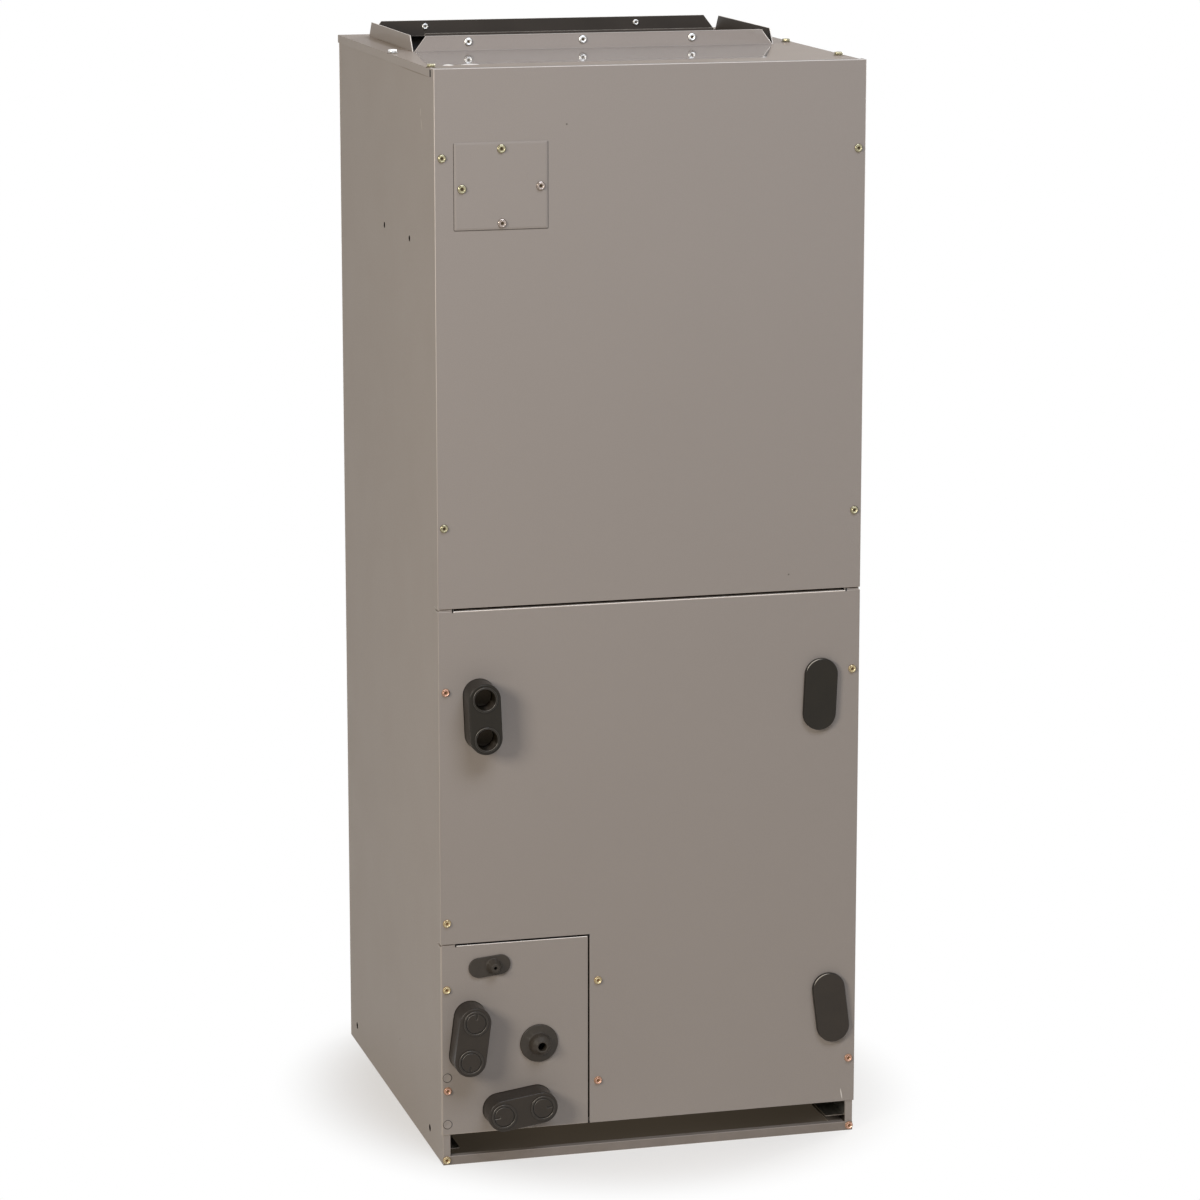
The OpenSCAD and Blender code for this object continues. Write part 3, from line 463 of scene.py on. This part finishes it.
# Drain pans
# Moulded black plastic trays that catch the water of the coil; their drain bosses run out
# through the doors. The mould leaves a fine even grain and rounded edges; dust from the floor
# dulls the lower ones.
def highlighted(tree, tone, colour):
    """The tone, paler where an edge turns up and to the left, towards the lamps: a painted
    highlight.
    """
    most_highlighted = (-0.45, -0.62, 0.64)
    turned = put(tree, "VectorMath", {0: put(tree, "NewGeometry").outputs["Normal"],
                                      1: most_highlighted}, operation="DOT_PRODUCT")
    highlight = put(tree, "MapRange", {"Value": turned.outputs["Value"], "From Min": 0.86,
                                  "From Max": 0.96})
    return put(tree, "Mix", {0: highlight.outputs[0], 6: tone, 7: srgb(colour)},
               data_type="RGBA").outputs[2]


def black_moulding(name, side_shade, highlight):
    """Moulded black plastic. The side shade is the tone of its sides against that of its front, a
    painted shade; highlight is the colour of the painted highlight on edges that turn up and left."""
    finish, tree, shader = new_finish(name)
    place = put(tree, "TexCoord").outputs["Object"]
    bloom = put(tree, "TexNoise", {"Vector": place, "Scale": per_metre(28.6), "Detail": 3.0})
    clean = put(tree, "Mix", {0: bloom.outputs[0], 6: srgb("#1f1b14"), 7: srgb("#272219")},
                data_type="RGBA")
    dusty = put(tree, "Mix", {0: bloom.outputs[0], 6: srgb("#2e2822"), 7: srgb("#39322a")},
                data_type="RGBA")
    high = put(tree, "SeparateXYZ", {0: place})
    high = put(tree, "MapRange", {"Value": high.outputs["Z"], "From Min": 0.25, "From Max": 0.55})
    tone = put(tree, "Mix", {0: high.outputs[0], 6: dusty.outputs[2], 7: clean.outputs[2]},
               data_type="RGBA")
    # Faces that turn aside from the front are darkened: painted shade.
    shade_by_facing = put(tree, "SeparateXYZ", {0: put(tree, "NewGeometry").outputs["True Normal"]})
    shade_by_facing = put(tree, "MapRange", {"Value": shade_by_facing.outputs["Y"], "From Min": -0.9,
                                    "From Max": -0.4, "To Min": 1.0, "To Max": side_shade})
    tone = put(tree, "Mix", {0: 1.0, 6: tone.outputs[2], 7: shade_by_facing.outputs[0]}, data_type="RGBA",
               blend_type="MULTIPLY")
    tree.links.new(highlighted(tree, tone.outputs[2], highlight), shader.inputs["Base Color"])
    shader.inputs["Roughness"].default_value = 0.3
    shader.inputs["Specular IOR Level"].default_value = 0.25
    grain = put(tree, "TexNoise", {"Vector": place, "Scale": per_metre(1.43), "Detail": 2.0})
    grain = put(tree, "Bump", {"Height": grain.outputs[0], "Strength": 0.25, "Distance": 0.0004})
    tree.links.new(grain.outputs[0], shader.inputs["Normal"])
    return finish


# Each takes a side shade and a colour of painted highlight; the plugs have the palest highlight
# and the deepest side shade.
drain_plastic = black_moulding("moulded_black_polypropylene", 0.6, "#332d26")
plug_plastic = black_moulding("polypropylene_of_plugs", 0.3, "#a8a196")

# Its edges are drawn paler than its faces, and paler still where they turn up and to the left:
# a painted highlight.
plastic_edge_highlight, tree, shader = new_finish("polypropylene_at_edge_painted_highlight")
place = put(tree, "TexCoord").outputs["Object"]
bloom = put(tree, "TexNoise", {"Vector": place, "Scale": per_metre(16.7), "Detail": 3.0})
tone = put(tree, "Mix", {0: bloom.outputs[0], 6: srgb("#2a251f"), 7: srgb("#3c362e")},
           data_type="RGBA")
tree.links.new(highlighted(tree, tone.outputs[2], "#7d766c"), shader.inputs["Base Color"])
shader.inputs["Roughness"].default_value = 0.3
moulded = (drain_plastic, drain_plastic, drain_plastic, plastic_edge_highlight)
for pan in ("drain_pan", "side_pan"):
    dressed(pan, (drain_plastic,), bend=1.2, strip=0)

# Coil
# Two leaning slabs of thin bright aluminium fins, tied by galvanised end plates and a cap. Real
# fins are 1 to 2 mm apart; they are drawn at 3.9 mm, so that they show. The wave texture turns by
# twenty radians for one unit of its scale.
fin_pitch, wave_turn = 3.93, 20
fin_stock, tree, shader = new_finish("bare_aluminium_fins")
place = put(tree, "TexCoord").outputs["Object"]
fin_scale = per_metre(fin_pitch) * 2 * math.pi / wave_turn
pitch = put(tree, "TexWave", {"Vector": place, "Scale": fin_scale}, bands_direction="Y")
tone = put(tree, "Mix", {0: pitch.outputs["Fac"], 6: srgb("#6e7172"), 7: srgb("#c9cccd")},
           data_type="RGBA")
tree.links.new(tone.outputs[2], shader.inputs["Base Color"])
shader.inputs["Metallic"].default_value = 0.9
shader.inputs["Roughness"].default_value = 0.4
ridge = put(tree, "Bump", {"Height": pitch.outputs["Fac"], "Strength": 0.8, "Distance": 0.002})
tree.links.new(ridge.outputs[0], shader.inputs["Normal"])
for slab in ("coil_left", "coil_right"):
    dressed(slab, (fin_stock,), bend=0.6)
for plate in ("coil_plate_front", "coil_plate_back", "coil_cap"):
    dressed(plate, (galvanised, galvanised, zinc_edge), bend=1.6)

# Blower
# A galvanised scroll under a deck, with a wheel of forward curved blades and a black motor
# held in the inlet by a banded bracket.
for sheet in ("blower_deck", "blower_wrap", "blower_side_left", "blower_side_right",
              "motor_bracket", "blower_wheel"):
    dressed(sheet, (galvanised, galvanised, zinc_edge), bend=1.6, eased=0.2)

# The motor's shell is dipped in black enamel: glossy, under a haze of dust.
motor_enamel, tree, shader = new_finish("black_motor_enamel")
place = put(tree, "TexCoord").outputs["Object"]
haze = put(tree, "TexNoise", {"Vector": place, "Scale": per_metre(16.7), "Detail": 3.0})
tone = put(tree, "Mix", {0: haze.outputs[0], 6: srgb("#262728"), 7: srgb("#333434")},
           data_type="RGBA")
tree.links.new(tone.outputs[2], shader.inputs["Base Color"])
shader.inputs["Roughness"].default_value = 0.36
dressed("blower_motor", (motor_enamel,), bend=2.5)

# Top and duct flanges
# The top sheet turns down over the walls. Round the supply opening it stands up in four
# flanges with mitred ends, painted outside and primed inside, with a strip behind the front one.
opening_y = (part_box("duct_flange_front")[0].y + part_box("duct_flange_back")[1].y) / 2
flange_low, flange_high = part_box("duct_flange_front")
top_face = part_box("top_panel")[1].z * 1000
side_low, side_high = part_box("duct_flange_left")

# A clear film kept the strip before the front flange clean until the unit was set up, so it is
# glossy there; the film was cut at a slant at both ends of the flange. Two marks: painted shade
# along the foot of the left flange and the bare mitre of the front one.
foot_shade = ("#857c71", (side_low.x - 0.005, (side_low.y + side_high.y) / 2, side_low.z),
              (0.011, 0.14, 0.004), 0, 0)
mitre = ("#d9d3cb", (flange_high.x - 0.0078, flange_low.y, top_face / 1000 + 0.0095),
         (0.0008, 0.004, 0.0122), 0, -37.3)
film_coat = coil_coating("polyester_coil_coat_from_under_film", 1.0, [mitre, foot_shade])
tree = film_coat.node_tree
place = put(tree, "TexCoord").outputs["Object"]
spot = put(tree, "SeparateXYZ", {0: place}).outputs
film = 1.0
for end, lean, way in [(flange_low.x, 0.161, 1), (flange_high.x, 0.345, -1)]:
    past = put(tree, "VectorMath", {0: place, 1: (way, -way * lean, 0.0)},
               operation="DOT_PRODUCT")
    start = way * (end - lean * flange_low.y)
    past = put(tree, "MapRange", {"Value": past.outputs["Value"], "From Min": start,
                                  "From Max": start + 0.002})
    film = put(tree, "Math", {0: past.outputs[0], 1: film}, operation="MULTIPLY").outputs[0]
for value, bare, clear in [(spot["Y"], flange_low.y - 0.205, flange_low.y - 0.19),
                           (spot["Y"], flange_low.y + 0.001, flange_low.y),
                           (spot["X"], front_low.x + 0.01, front_low.x + 0.016)]:
    past = put(tree, "MapRange", {"Value": value, "From Min": bare, "From Max": clear})
    film = put(tree, "Math", {0: past.outputs[0], 1: film}, operation="MULTIPLY").outputs[0]
shader = tree.nodes["Principled BSDF"]

# The top and the faces that turn to the front or back are drawn paler, painted light, and a
# little warmer where the strip was bare; faces that turn aside keep their tone.
painted_light_bare = (1.2, 1.11, 1.02, 1)
painted_light_under_film = (1.07, 1.06, 1.06, 1)
as_it_was = (1, 1, 1, 1)
paler = put(tree, "Mix", {0: film, 6: painted_light_bare, 7: painted_light_under_film}, data_type="RGBA")
aside = put(tree, "SeparateXYZ", {0: put(tree, "NewGeometry").outputs["True Normal"]})
aside = put(tree, "Math", {0: aside.outputs["X"]}, operation="ABSOLUTE")
paler = put(tree, "Mix", {0: aside.outputs[0], 6: paler.outputs[2], 7: as_it_was},
            data_type="RGBA")
coating_tone = shader.inputs["Base Color"].links[0].from_socket
tone = put(tree, "Mix", {0: 1.0, 6: coating_tone, 7: paler.outputs[2]}, data_type="RGBA",
           blend_type="MULTIPLY")
tree.links.new(tone.outputs[2], shader.inputs["Base Color"])
film = put(tree, "MapRange", {"Value": film, "To Min": 0.08, "To Max": 0.85})
tree.links.new(film.outputs[0], shader.inputs["Coat Weight"])
dressed("top_panel", (film_coat, backer_coat, coil_coat, coil_coat), bend=1.8,
        heart=(0, opening_y))
for sheet in ("duct_flange_front", "duct_flange_back", "duct_flange_left", "duct_flange_right"):
    dressed(sheet, (film_coat,) + coated[1:], bend=1.8, heart=(0, opening_y))

# The foot of the front flange is a hollow bend: a quarter round between the top and the flange.
hollow = 1.2
swing = np.linspace(0, np.pi / 2, 7)
foot = hollow * np.stack([np.sin(swing) - 1, 1 - np.cos(swing)], -1)
foot = np.vstack([foot, [[0.4, hollow], [0.4, -0.3], [-hollow, -0.3]]])
flange_face = (flange_low.y - front_low.y) * 1000
ends = (np.array([flange_low.x + 0.001, flange_high.x - 0.001]) - front_low.x) * 1000
points = at(ends[:, None], flange_face + foot[:, 0], top_face + foot[:, 1])
faces = grid_faces(2, len(foot), closed=True).tolist()
faces += [list(range(len(foot)))[::-1], list(range(len(foot), 2 * len(foot)))]
bend_line = mesh_piece("front_flange_bend", points, faces, coil_coat, smooth=False)
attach(bend_line, "root")
dressed("flange_backing", (backer_coat, backer_coat, zinc_edge))

# Two slivers of the film are left near the front left corner, glossy and pale where they stand
# up. A sliver is a flat loop that leans back, as high as one minus the cosine of the turn, carried
# along a wavy line and tapered to both ends.
clear_film, tree, shader = new_finish("torn_polyethylene_film")
shader.inputs["Base Color"].default_value = srgb("#f1eee8")
shader.inputs["Roughness"].default_value = 0.25
half_thick, lean_back, stuck = 0.12, 0.6, 0.05
along = np.linspace(0, 1, 21)[:, None]
turn = np.linspace(0, 2 * np.pi, 12, endpoint=False)
for number, (x0, x1, y, high) in enumerate([(23.5, 37, 54, 1.7), (47, 71, 61, 1.0)]):
    taper = np.sin(np.pi * along) ** 0.6
    rise = (1 - np.cos(turn)) / 2
    lean = half_thick * np.sin(turn) + lean_back * rise ** 2
    points = at(x0 + (x1 - x0) * along + 0 * turn, y + np.sin(7 * along) + taper * lean,
                top_face - stuck + high * taper * rise)
    sliver = mesh_piece("film_sliver_%d" % number, points,
                        grid_faces(len(along), len(turn), closed=True), clear_film)
    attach(sliver, "root")

# Doors and panels
# Pans of the same coated sheet whose lips wrap the side walls, and a flat blank cover on the
# upper door. The fold along each edge is the brightest line of the casing, a painted highlight.
for door in ("upper_door", "fitting_panel"):
    dressed(door, coated)
dressed("lower_door", coated, heart=(-0.2, 0))


def round_loop(x0, x1, z0, z1, corner, profile, face_y):
    """A profile carried round an upright rectangle with round corners. Each profile point gives
    how far the loop lies inside the rectangle and how far it stands out of the face, in
    millimetres; the first and the last loop are closed by flat faces."""
    inset, out = np.asarray(profile, float).T[:, :, None]
    turn = np.linspace(0, 2 * np.pi, 32, endpoint=False) + np.pi / 32
    bend = np.maximum(corner - inset, 0.05)
    x = np.where(np.cos(turn) > 0, x1 - inset - bend, x0 + inset + bend) + bend * np.cos(turn)
    z = np.where(np.sin(turn) > 0, z1 - inset - bend, z0 + inset + bend) + bend * np.sin(turn)
    faces = grid_faces(len(profile), len(turn), closed=True).tolist()
    last = (len(profile) - 1) * len(turn)
    faces += [list(range(len(turn)))[::-1], list(range(last, last + len(turn)))]
    return at(x, face_y - out, z), faces


# The sheet is sheared along the seams, and the bare edge shows as a bright line under each one.
lower_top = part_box("lower_door")[1].z * 1000
panel_right = (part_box("fitting_panel")[1].x - front_low.x) * 1000
panel_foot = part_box("fitting_panel")[0].z * 1000
bare_edges = [(19.2, 517.8, lower_top - 1.3, lower_top - 0.1),
              (20.2, panel_right - 1, panel_top - 0.9, panel_top - 0.1)]
edge_profile = [[0.1, -0.4], [0, 0], [0, 0.15], [0.2, 0.3]]
for number, (x0, x1, z0, z1) in enumerate(bare_edges):
    edge = mesh_piece("sheared_edge_%d" % number,
                      *round_loop(x0, x1, z0, z1, 0.3, edge_profile, 0), zinc_edge, smooth=False)
    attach(edge, "root")

# Where the lip of a door begins, the corner of the blank is notched; the notch is drawn as a
# black patch on the face, painted shade.
notch_shade, tree, shader = new_finish("dark_of_open_notch")
shader.inputs["Base Color"].default_value = srgb("#0e0a08")
shader.inputs["Roughness"].default_value = 1.0
notches = [(17.5, 19.1, lower_top - 1.7, seam), (518.0, 519.5, lower_top - 1.4, seam - 0.5),
           (18.3, 20.1, panel_top - 1.7, panel_top + 2.2),
           (panel_right + 0.1, panel_right + 2.2, panel_top - 0.8, panel_top + 2.3),
           (panel_right + 0.1, panel_right + 2.2, panel_foot, panel_foot + 2.6)]
notch_profile = [[0.1, -0.6], [0, 0], [0, 0.25], [0.15, 0.35]]
for number, (x0, x1, z0, z1) in enumerate(notches):
    notch = mesh_piece("corner_notch_%d" % number,
                       *round_loop(x0, x1, z0, z1, 0.4, notch_profile, 0), notch_shade,
                       smooth=False)
    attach(notch, "root")

# The lip of the top stops short of the lip of the door, which leaves a slit at the corner, drawn
# as a dark block: painted shade.
x, y, z = np.meshgrid([-0.25, 0.6], [15.6, 21.2], [1346, 1354.4], indexing="ij")
six_sides = [(0, 1, 3, 2), (4, 6, 7, 5), (0, 4, 5, 1), (2, 3, 7, 6), (0, 2, 6, 4), (1, 5, 7, 3)]
slit = mesh_piece("corner_slit", at(x, y, z), six_sides, notch_shade, smooth=False)
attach(slit, "root")

# The blank cover is stamped, so its border slopes down to the door over a few millimetres;
# round it a strip of dark foam shows at the left, right and below, but not at the top: a painted
# shadow.
cover_low, cover_high = (np.array(corner) * 1000 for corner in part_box("breaker_cover"))
cover_x0, cover_x1 = cover_low[0] - front_low.x * 1000, cover_high[0] - front_low.x * 1000
cover_thick = cover_high[1] - cover_low[1]
cover_z0, cover_z1 = cover_low[2], cover_high[2]
cover_profile = np.array([[0.3, 0.0], [0.0, 0.1], [0.0, 0.35], [0.25, 0.5], [1.4, 0.78],
                          [2.4, 0.95], [3.0, 1.0]]) * [1, cover_thick]
cover = mesh_piece("breaker_cover_plate",
                   *round_loop(cover_x0, cover_x1, cover_z0, cover_z1, 1.2, cover_profile, 0),
                   coil_coat, smooth=False)
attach(cover, "root")
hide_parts("breaker_cover")
shade_foam, tree, shader = new_finish("black_foam_strip_drawn_as_shade")
place = put(tree, "TexCoord").outputs["Object"]
cells = put(tree, "TexVoronoi", {"Vector": place, "Scale": per_metre(1.11)})
tone = put(tree, "Mix", {0: cells.outputs["Distance"], 6: srgb("#38332e"), 7: srgb("#4c463f")},
           data_type="RGBA")
tree.links.new(tone.outputs[2], shader.inputs["Base Color"])
shader.inputs["Roughness"].default_value = 0.9
seal_profile = [[0, 0], [0, 0.35], [0.3, 0.45]]
seal = mesh_piece("cover_seal_shade",
                  *round_loop(cover_x0 - 0.6, cover_x1 + 0.5, cover_z0 - 0.7, cover_z1 - 0.3, 1.6,
                              seal_profile, 0), shade_foam, smooth=False)
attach(seal, "root")

# Clinch buttons: the press pushes the panel and the wall behind it into each other, which
# leaves a low round button under the paint, with a groove round it drawn dark: painted shade.
button_rings = np.array([[0.0, 0.4], [3.4, 0.5], [4.3, 0.8], [4.8, 0.9], [5.1, 0.75], [5.2, 0.25],
                         [5.9, 0.2], [5.9, 0.0], [5.9, -0.3], [0.0, -0.3]])
first_dark_ring = 5
turn = np.linspace(0, 2 * np.pi, 40, endpoint=False)
dark = np.repeat(np.arange(len(button_rings) - 1) >= first_dark_ring, len(turn))
for number, (x, z) in enumerate([(7.4, 113), (7.4, 52.6)]):
    ring, out = button_rings.T[:, :, None]
    points = at(x + ring * np.cos(turn), -out, z + ring * np.sin(turn))
    button = mesh_piece("clinch_button_%d" % number, points,
                        grid_faces(len(button_rings), len(turn), closed=True), coil_coat,
                        shade_foam, bands=dark)
    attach(button, "root")

# Drain bosses, plugs and grommets
# The bosses are moulded with the pans, in the same black plastic, and stand out through the doors.
# The plugs snap into unused cut-outs, and the line grommets are pressed in.
for boss in ("drain_boss_upper", "drain_boss_left", "drain_boss_lower"):
    dressed(boss, moulded, bend=0.6, strip=0)
for plug in ("plug_upper", "plug_lower"):
    dressed(plug, (plug_plastic,) * 3 + (plastic_edge_highlight,), bend=1.8, strip=0)

# The two open sockets are threaded for pipe: a sleeve whose inner radius is a triangle wave of
# the depth less the turn, one pitch for each turn, closed by the wall of the socket.
thread_start, thread_end, thread_pitch, thread_depth = 0.5, 24, 1.814, 0.9
depth = np.linspace(thread_start, thread_end, 105)[:, None]
turn = np.linspace(0, 2 * np.pi, 48, endpoint=False)
crest = 1 - abs(2 * ((depth / thread_pitch - turn / (2 * np.pi)) % 1) - 1)
radius = np.vstack([13.1 - thread_depth * crest, np.full((2, len(turn)), 13.15)])
depth = np.vstack([depth, [[thread_end], [thread_start]]])
boss_face = (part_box("drain_boss_upper")[0].y - front_low.y) * 1000
# The sleeves take a strong side shade, so the walls of the sockets are darkened: painted shade.
socket_plastic = black_moulding("polypropylene_in_sockets", 0.3, "#332d26")
socket_plastic.node_tree.nodes["Principled BSDF"].inputs["Specular IOR Level"].default_value = 0.1

# Lint and dust have settled at the end of the sockets: matt, and paler than the plastic.
socket_dust, tree, shader = new_finish("dust_in_sockets")
place = put(tree, "TexCoord").outputs["Object"]
lint = put(tree, "TexNoise", {"Vector": place, "Scale": per_metre(2), "Detail": 4.0})
lint = put(tree, "Mix", {0: lint.outputs[0], 6: srgb("#6a6055"), 7: srgb("#8a8072")},
           data_type="RGBA")
tree.links.new(lint.outputs[2], shader.inputs["Base Color"])
shader.inputs["Roughness"].default_value = 0.95
for number, (x, z) in enumerate([(50.45, 597.98), (52.55, 548.02)]):
    points = at(x + radius * np.cos(turn), boss_face + depth, z + radius * np.sin(turn))
    points = np.concatenate([points, points[:1]])
    sleeve = mesh_piece("socket_thread_%d" % number, points,
                        grid_faces(len(points), len(turn), closed=True), socket_plastic)
    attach(sleeve, "root")
    ring = np.array([0.0, 6.0, 11.5, 12.8, 12.8, 0.0])[:, None]
    sunk = np.array([25.6, 25.5, 25.4, 25.3, 26.1, 26.1])[:, None]
    points = at(x + ring * np.cos(turn), boss_face + sunk, z + ring * np.sin(turn))
    fluff = mesh_piece("socket_dust_%d" % number, points,
                       grid_faces(len(ring), len(turn), closed=True), socket_dust, smooth=False)
    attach(fluff, "root")

# The grommets are moulded rubber: soft black, greyed in clouds by the talc of the mould.
soft_rubber, tree, shader = new_finish("black_epdm_rubber")
place = put(tree, "TexCoord").outputs["Object"]
talc = put(tree, "TexNoise", {"Vector": place, "Scale": per_metre(12.5), "Detail": 4.0})
tone = put(tree, "Mix", {0: talc.outputs[0], 6: srgb("#312c26"), 7: srgb("#413a32")},
           data_type="RGBA")
tree.links.new(tone.outputs[2], shader.inputs["Base Color"])
shader.inputs["Roughness"].default_value = 0.45
shader.inputs["Specular IOR Level"].default_value = 0.3
for grommet in ("line_grommet_round", "line_grommet_small"):
    dressed(grommet, (soft_rubber,), bend=0.6, strip=0)

# Screws
# Sheet metal screws with an indented hexagon head on a pressed washer, driven through the sheet.
# They are zinc plated: those of the doors have a yellow or a copper tinted passivation, those of
# the flanges a clear one.
def yellow_passivation(name, low, high):
    """Zinc under a yellow passivation, of one tint on the low screws and a paler one on the
    high."""
    finish, tree, shader = new_finish(name)
    height = put(tree, "SeparateXYZ", {0: put(tree, "TexCoord").outputs["Object"]})
    height = put(tree, "MapRange", {"Value": height.outputs["Z"], "From Min": 0.65,
                                    "From Max": 0.78})
    tone = put(tree, "Mix", {0: height.outputs[0], 6: srgb(low), 7: srgb(high)}, data_type="RGBA")
    tree.links.new(tone.outputs[2], shader.inputs["Base Color"])
    shader.inputs["Metallic"].default_value = 0.6
    shader.inputs["Roughness"].default_value = 0.22
    return finish


yellow_zinc = yellow_passivation("yellow_passivated_zinc", "#c0b08a", "#b0a98a")
copper_zinc = yellow_passivation("copper_tinted_zinc", "#c49a84", "#b2a59c")

# Grease and dust left in the recess by the driver bit, darker on the upper screws; the same dark
# is laid at the foot of the hexagon and round the rim of the washer as painted shade.
recess_grease_and_shade, tree, shader = new_finish("driver_grease_and_painted_shade")
place = put(tree, "TexCoord").outputs["Object"]
grease_shade_tone = put(tree, "TexNoise", {"Vector": place, "Scale": per_metre(1.43), "Detail": 2.0})
dark = put(tree, "Mix", {0: grease_shade_tone.outputs[0], 6: srgb("#33291a"), 7: srgb("#54462e")},
           data_type="RGBA")
thin = put(tree, "Mix", {0: grease_shade_tone.outputs[0], 6: srgb("#6e5134"), 7: srgb("#94744e")},
           data_type="RGBA")
high = put(tree, "SeparateXYZ", {0: place})
high = put(tree, "MapRange", {"Value": high.outputs["Z"], "From Min": 0.45, "From Max": 0.75})
grease_shade_tone = put(tree, "Mix", {0: high.outputs[0], 6: thin.outputs[2], 7: dark.outputs[2]},
           data_type="RGBA")
tree.links.new(grease_shade_tone.outputs[2], shader.inputs["Base Color"])
shader.inputs["Roughness"].default_value = 0.6
shader.inputs["Specular IOR Level"].default_value = 0.2

# Clear passivation leaves the zinc silvery and bright.
clear_zinc, tree, shader = new_finish("clear_passivated_zinc")
shader.inputs["Base Color"].default_value = srgb("#f0f0ee")
shader.inputs["Metallic"].default_value = 1.0
shader.inputs["Roughness"].default_value = 0.4

# Radius, height and share of hexagon of the rings of a head, from the middle of the recess
# out over the rim, down to the washer and under it, in millimetres.
golden_angle = 2.39996
head_rings = np.array([
    [0.0, 1.4, 0.0], [0.6, 1.4, 0.0], [1.2, 1.6, 0.0], [1.8, 2.1, 0.1], [2.4, 2.75, 0.3],
    [2.8, 3.2, 0.6], [3.0, 3.4, 0.8], [3.25, 3.5, 1.0], [3.55, 3.45, 1.0], [3.8, 3.2, 1.0],
    [3.85, 2.7, 1.0], [3.9, 1.5, 1.0], [4.0, 1.1, 0.7], [4.3, 0.9, 0.2], [4.85, 0.8, 0.0],
    [5.05, 0.65, 0.0], [5.1, 0.3, 0.0], [5.1, 0.1, 0.0], [5.55, 0.06, 0.0], [5.6, 0.0, 0.0],
    [5.6, -0.2, 0.0], [0.0, -0.2, 0.0]])


def screws(name, places, outward, finish, size=1.0):
    """Screw heads in one mesh. Each ring's radius goes from a circle to a hexagon, apothem over
    the cosine of the angle from the nearest flat; each head is turned by the golden angle. The
    size is set against a head with an 8 mm hexagon."""
    places = np.asarray(places, float)
    radius, height = size * head_rings[:, :2].T[:, :, None] / 1000
    hexagon = head_rings[:, 2, None]
    turn = np.linspace(0, 2 * np.pi, 36, endpoint=False)
    flat = 1 / np.cos((turn % (np.pi / 3)) - np.pi / 6)
    ring = radius * (1 - hexagon + hexagon * flat)
    out = np.asarray(outward, float)
    side = np.cross(out, [0, 0, 1] if abs(out[2]) < 0.5 else [0, 1, 0])
    up = np.cross(side, out)
    spin = golden_angle * np.arange(len(places))[:, None, None] + turn
    points = (places[:, None, None, :] + height[None, :, :, None] * out
              + (ring * np.cos(spin))[..., None] * side + (ring * np.sin(spin))[..., None] * up)
    faces = grid_faces(len(head_rings), len(turn), closed=True)
    step = len(head_rings) * len(turn)
    faces = (faces[None] + step * np.arange(len(places))[:, None, None]).reshape(-1, 4)
    band = np.tile(np.repeat(np.arange(len(head_rings) - 1), len(turn)), len(places))
    # The recess takes grease and painted shade; the foot of the hexagon and the washer's rim take
    # painted shade.
    recess, hexagon_foot, washer_rim = band < 3, (band >= 11) & (band < 13), band >= 15
    grease_and_shade = recess | hexagon_foot | washer_rim
    thing = mesh_piece(name, points, faces, finish, recess_grease_and_shade, bands=grease_and_shade)
    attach(thing, "root")


door_screws = np.array([[9, 1251], [528, 1250], [8.5, 805], [528, 803], [528, 602], [8.5, 311],
                        [200.4, 224], [7.5, 226], [6, 6.2]])
to_front, to_back, to_top = (0, -1, 0), (0, 1, 0), (0, 0, 1)
screws("door_screws", at(door_screws[:, 0], 0, door_screws[:, 1]), to_front, yellow_zinc,
       size=0.94)
copper_screws = np.array([[9, 602], [200.4, 94], [529, 96], [7.8, 96], [531, 6.2]])
screws("copper_door_screws", at(copper_screws[:, 0], 0, copper_screws[:, 1]), to_front,
       copper_zinc, size=0.94)
cover_face = (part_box("breaker_cover")[0].y - front_low.y) * 1000
screws("cover_screws", at([81.5, 33], cover_face, [1261, 1214]), to_front, yellow_zinc)
screws("copper_cover_screws", at([129.5, 82], cover_face, [1215.5, 1172]), to_front, copper_zinc)
screws("top_screws_pale", at([6.5], [256], top_face), to_top, clear_zinc, size=1.25)
screws("top_screws_yellow", at([5.6, 528, 528], [38, 82, 297], top_face), to_top, yellow_zinc,
       size=1.15)
flange_screw_height = top_face + 11
screws("flange_screws", at([105, 252, 394], flange_face, flange_screw_height), to_front,
       clear_zinc, size=0.95)
back_flange_face = (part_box("duct_flange_back")[0].y - front_low.y) * 1000
screws("back_flange_screws", at([109, 393], back_flange_face, flange_screw_height), to_front,
       clear_zinc, size=0.75)
back_face = (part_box("back_panel")[1].y - front_low.y) * 1000
back_screws = np.array([[x, z] for x in (9, 528) for z in (40, 460, 880, 1300)])
screws("back_screws", at(back_screws[:, 0], back_face, back_screws[:, 1]), to_back, yellow_zinc)
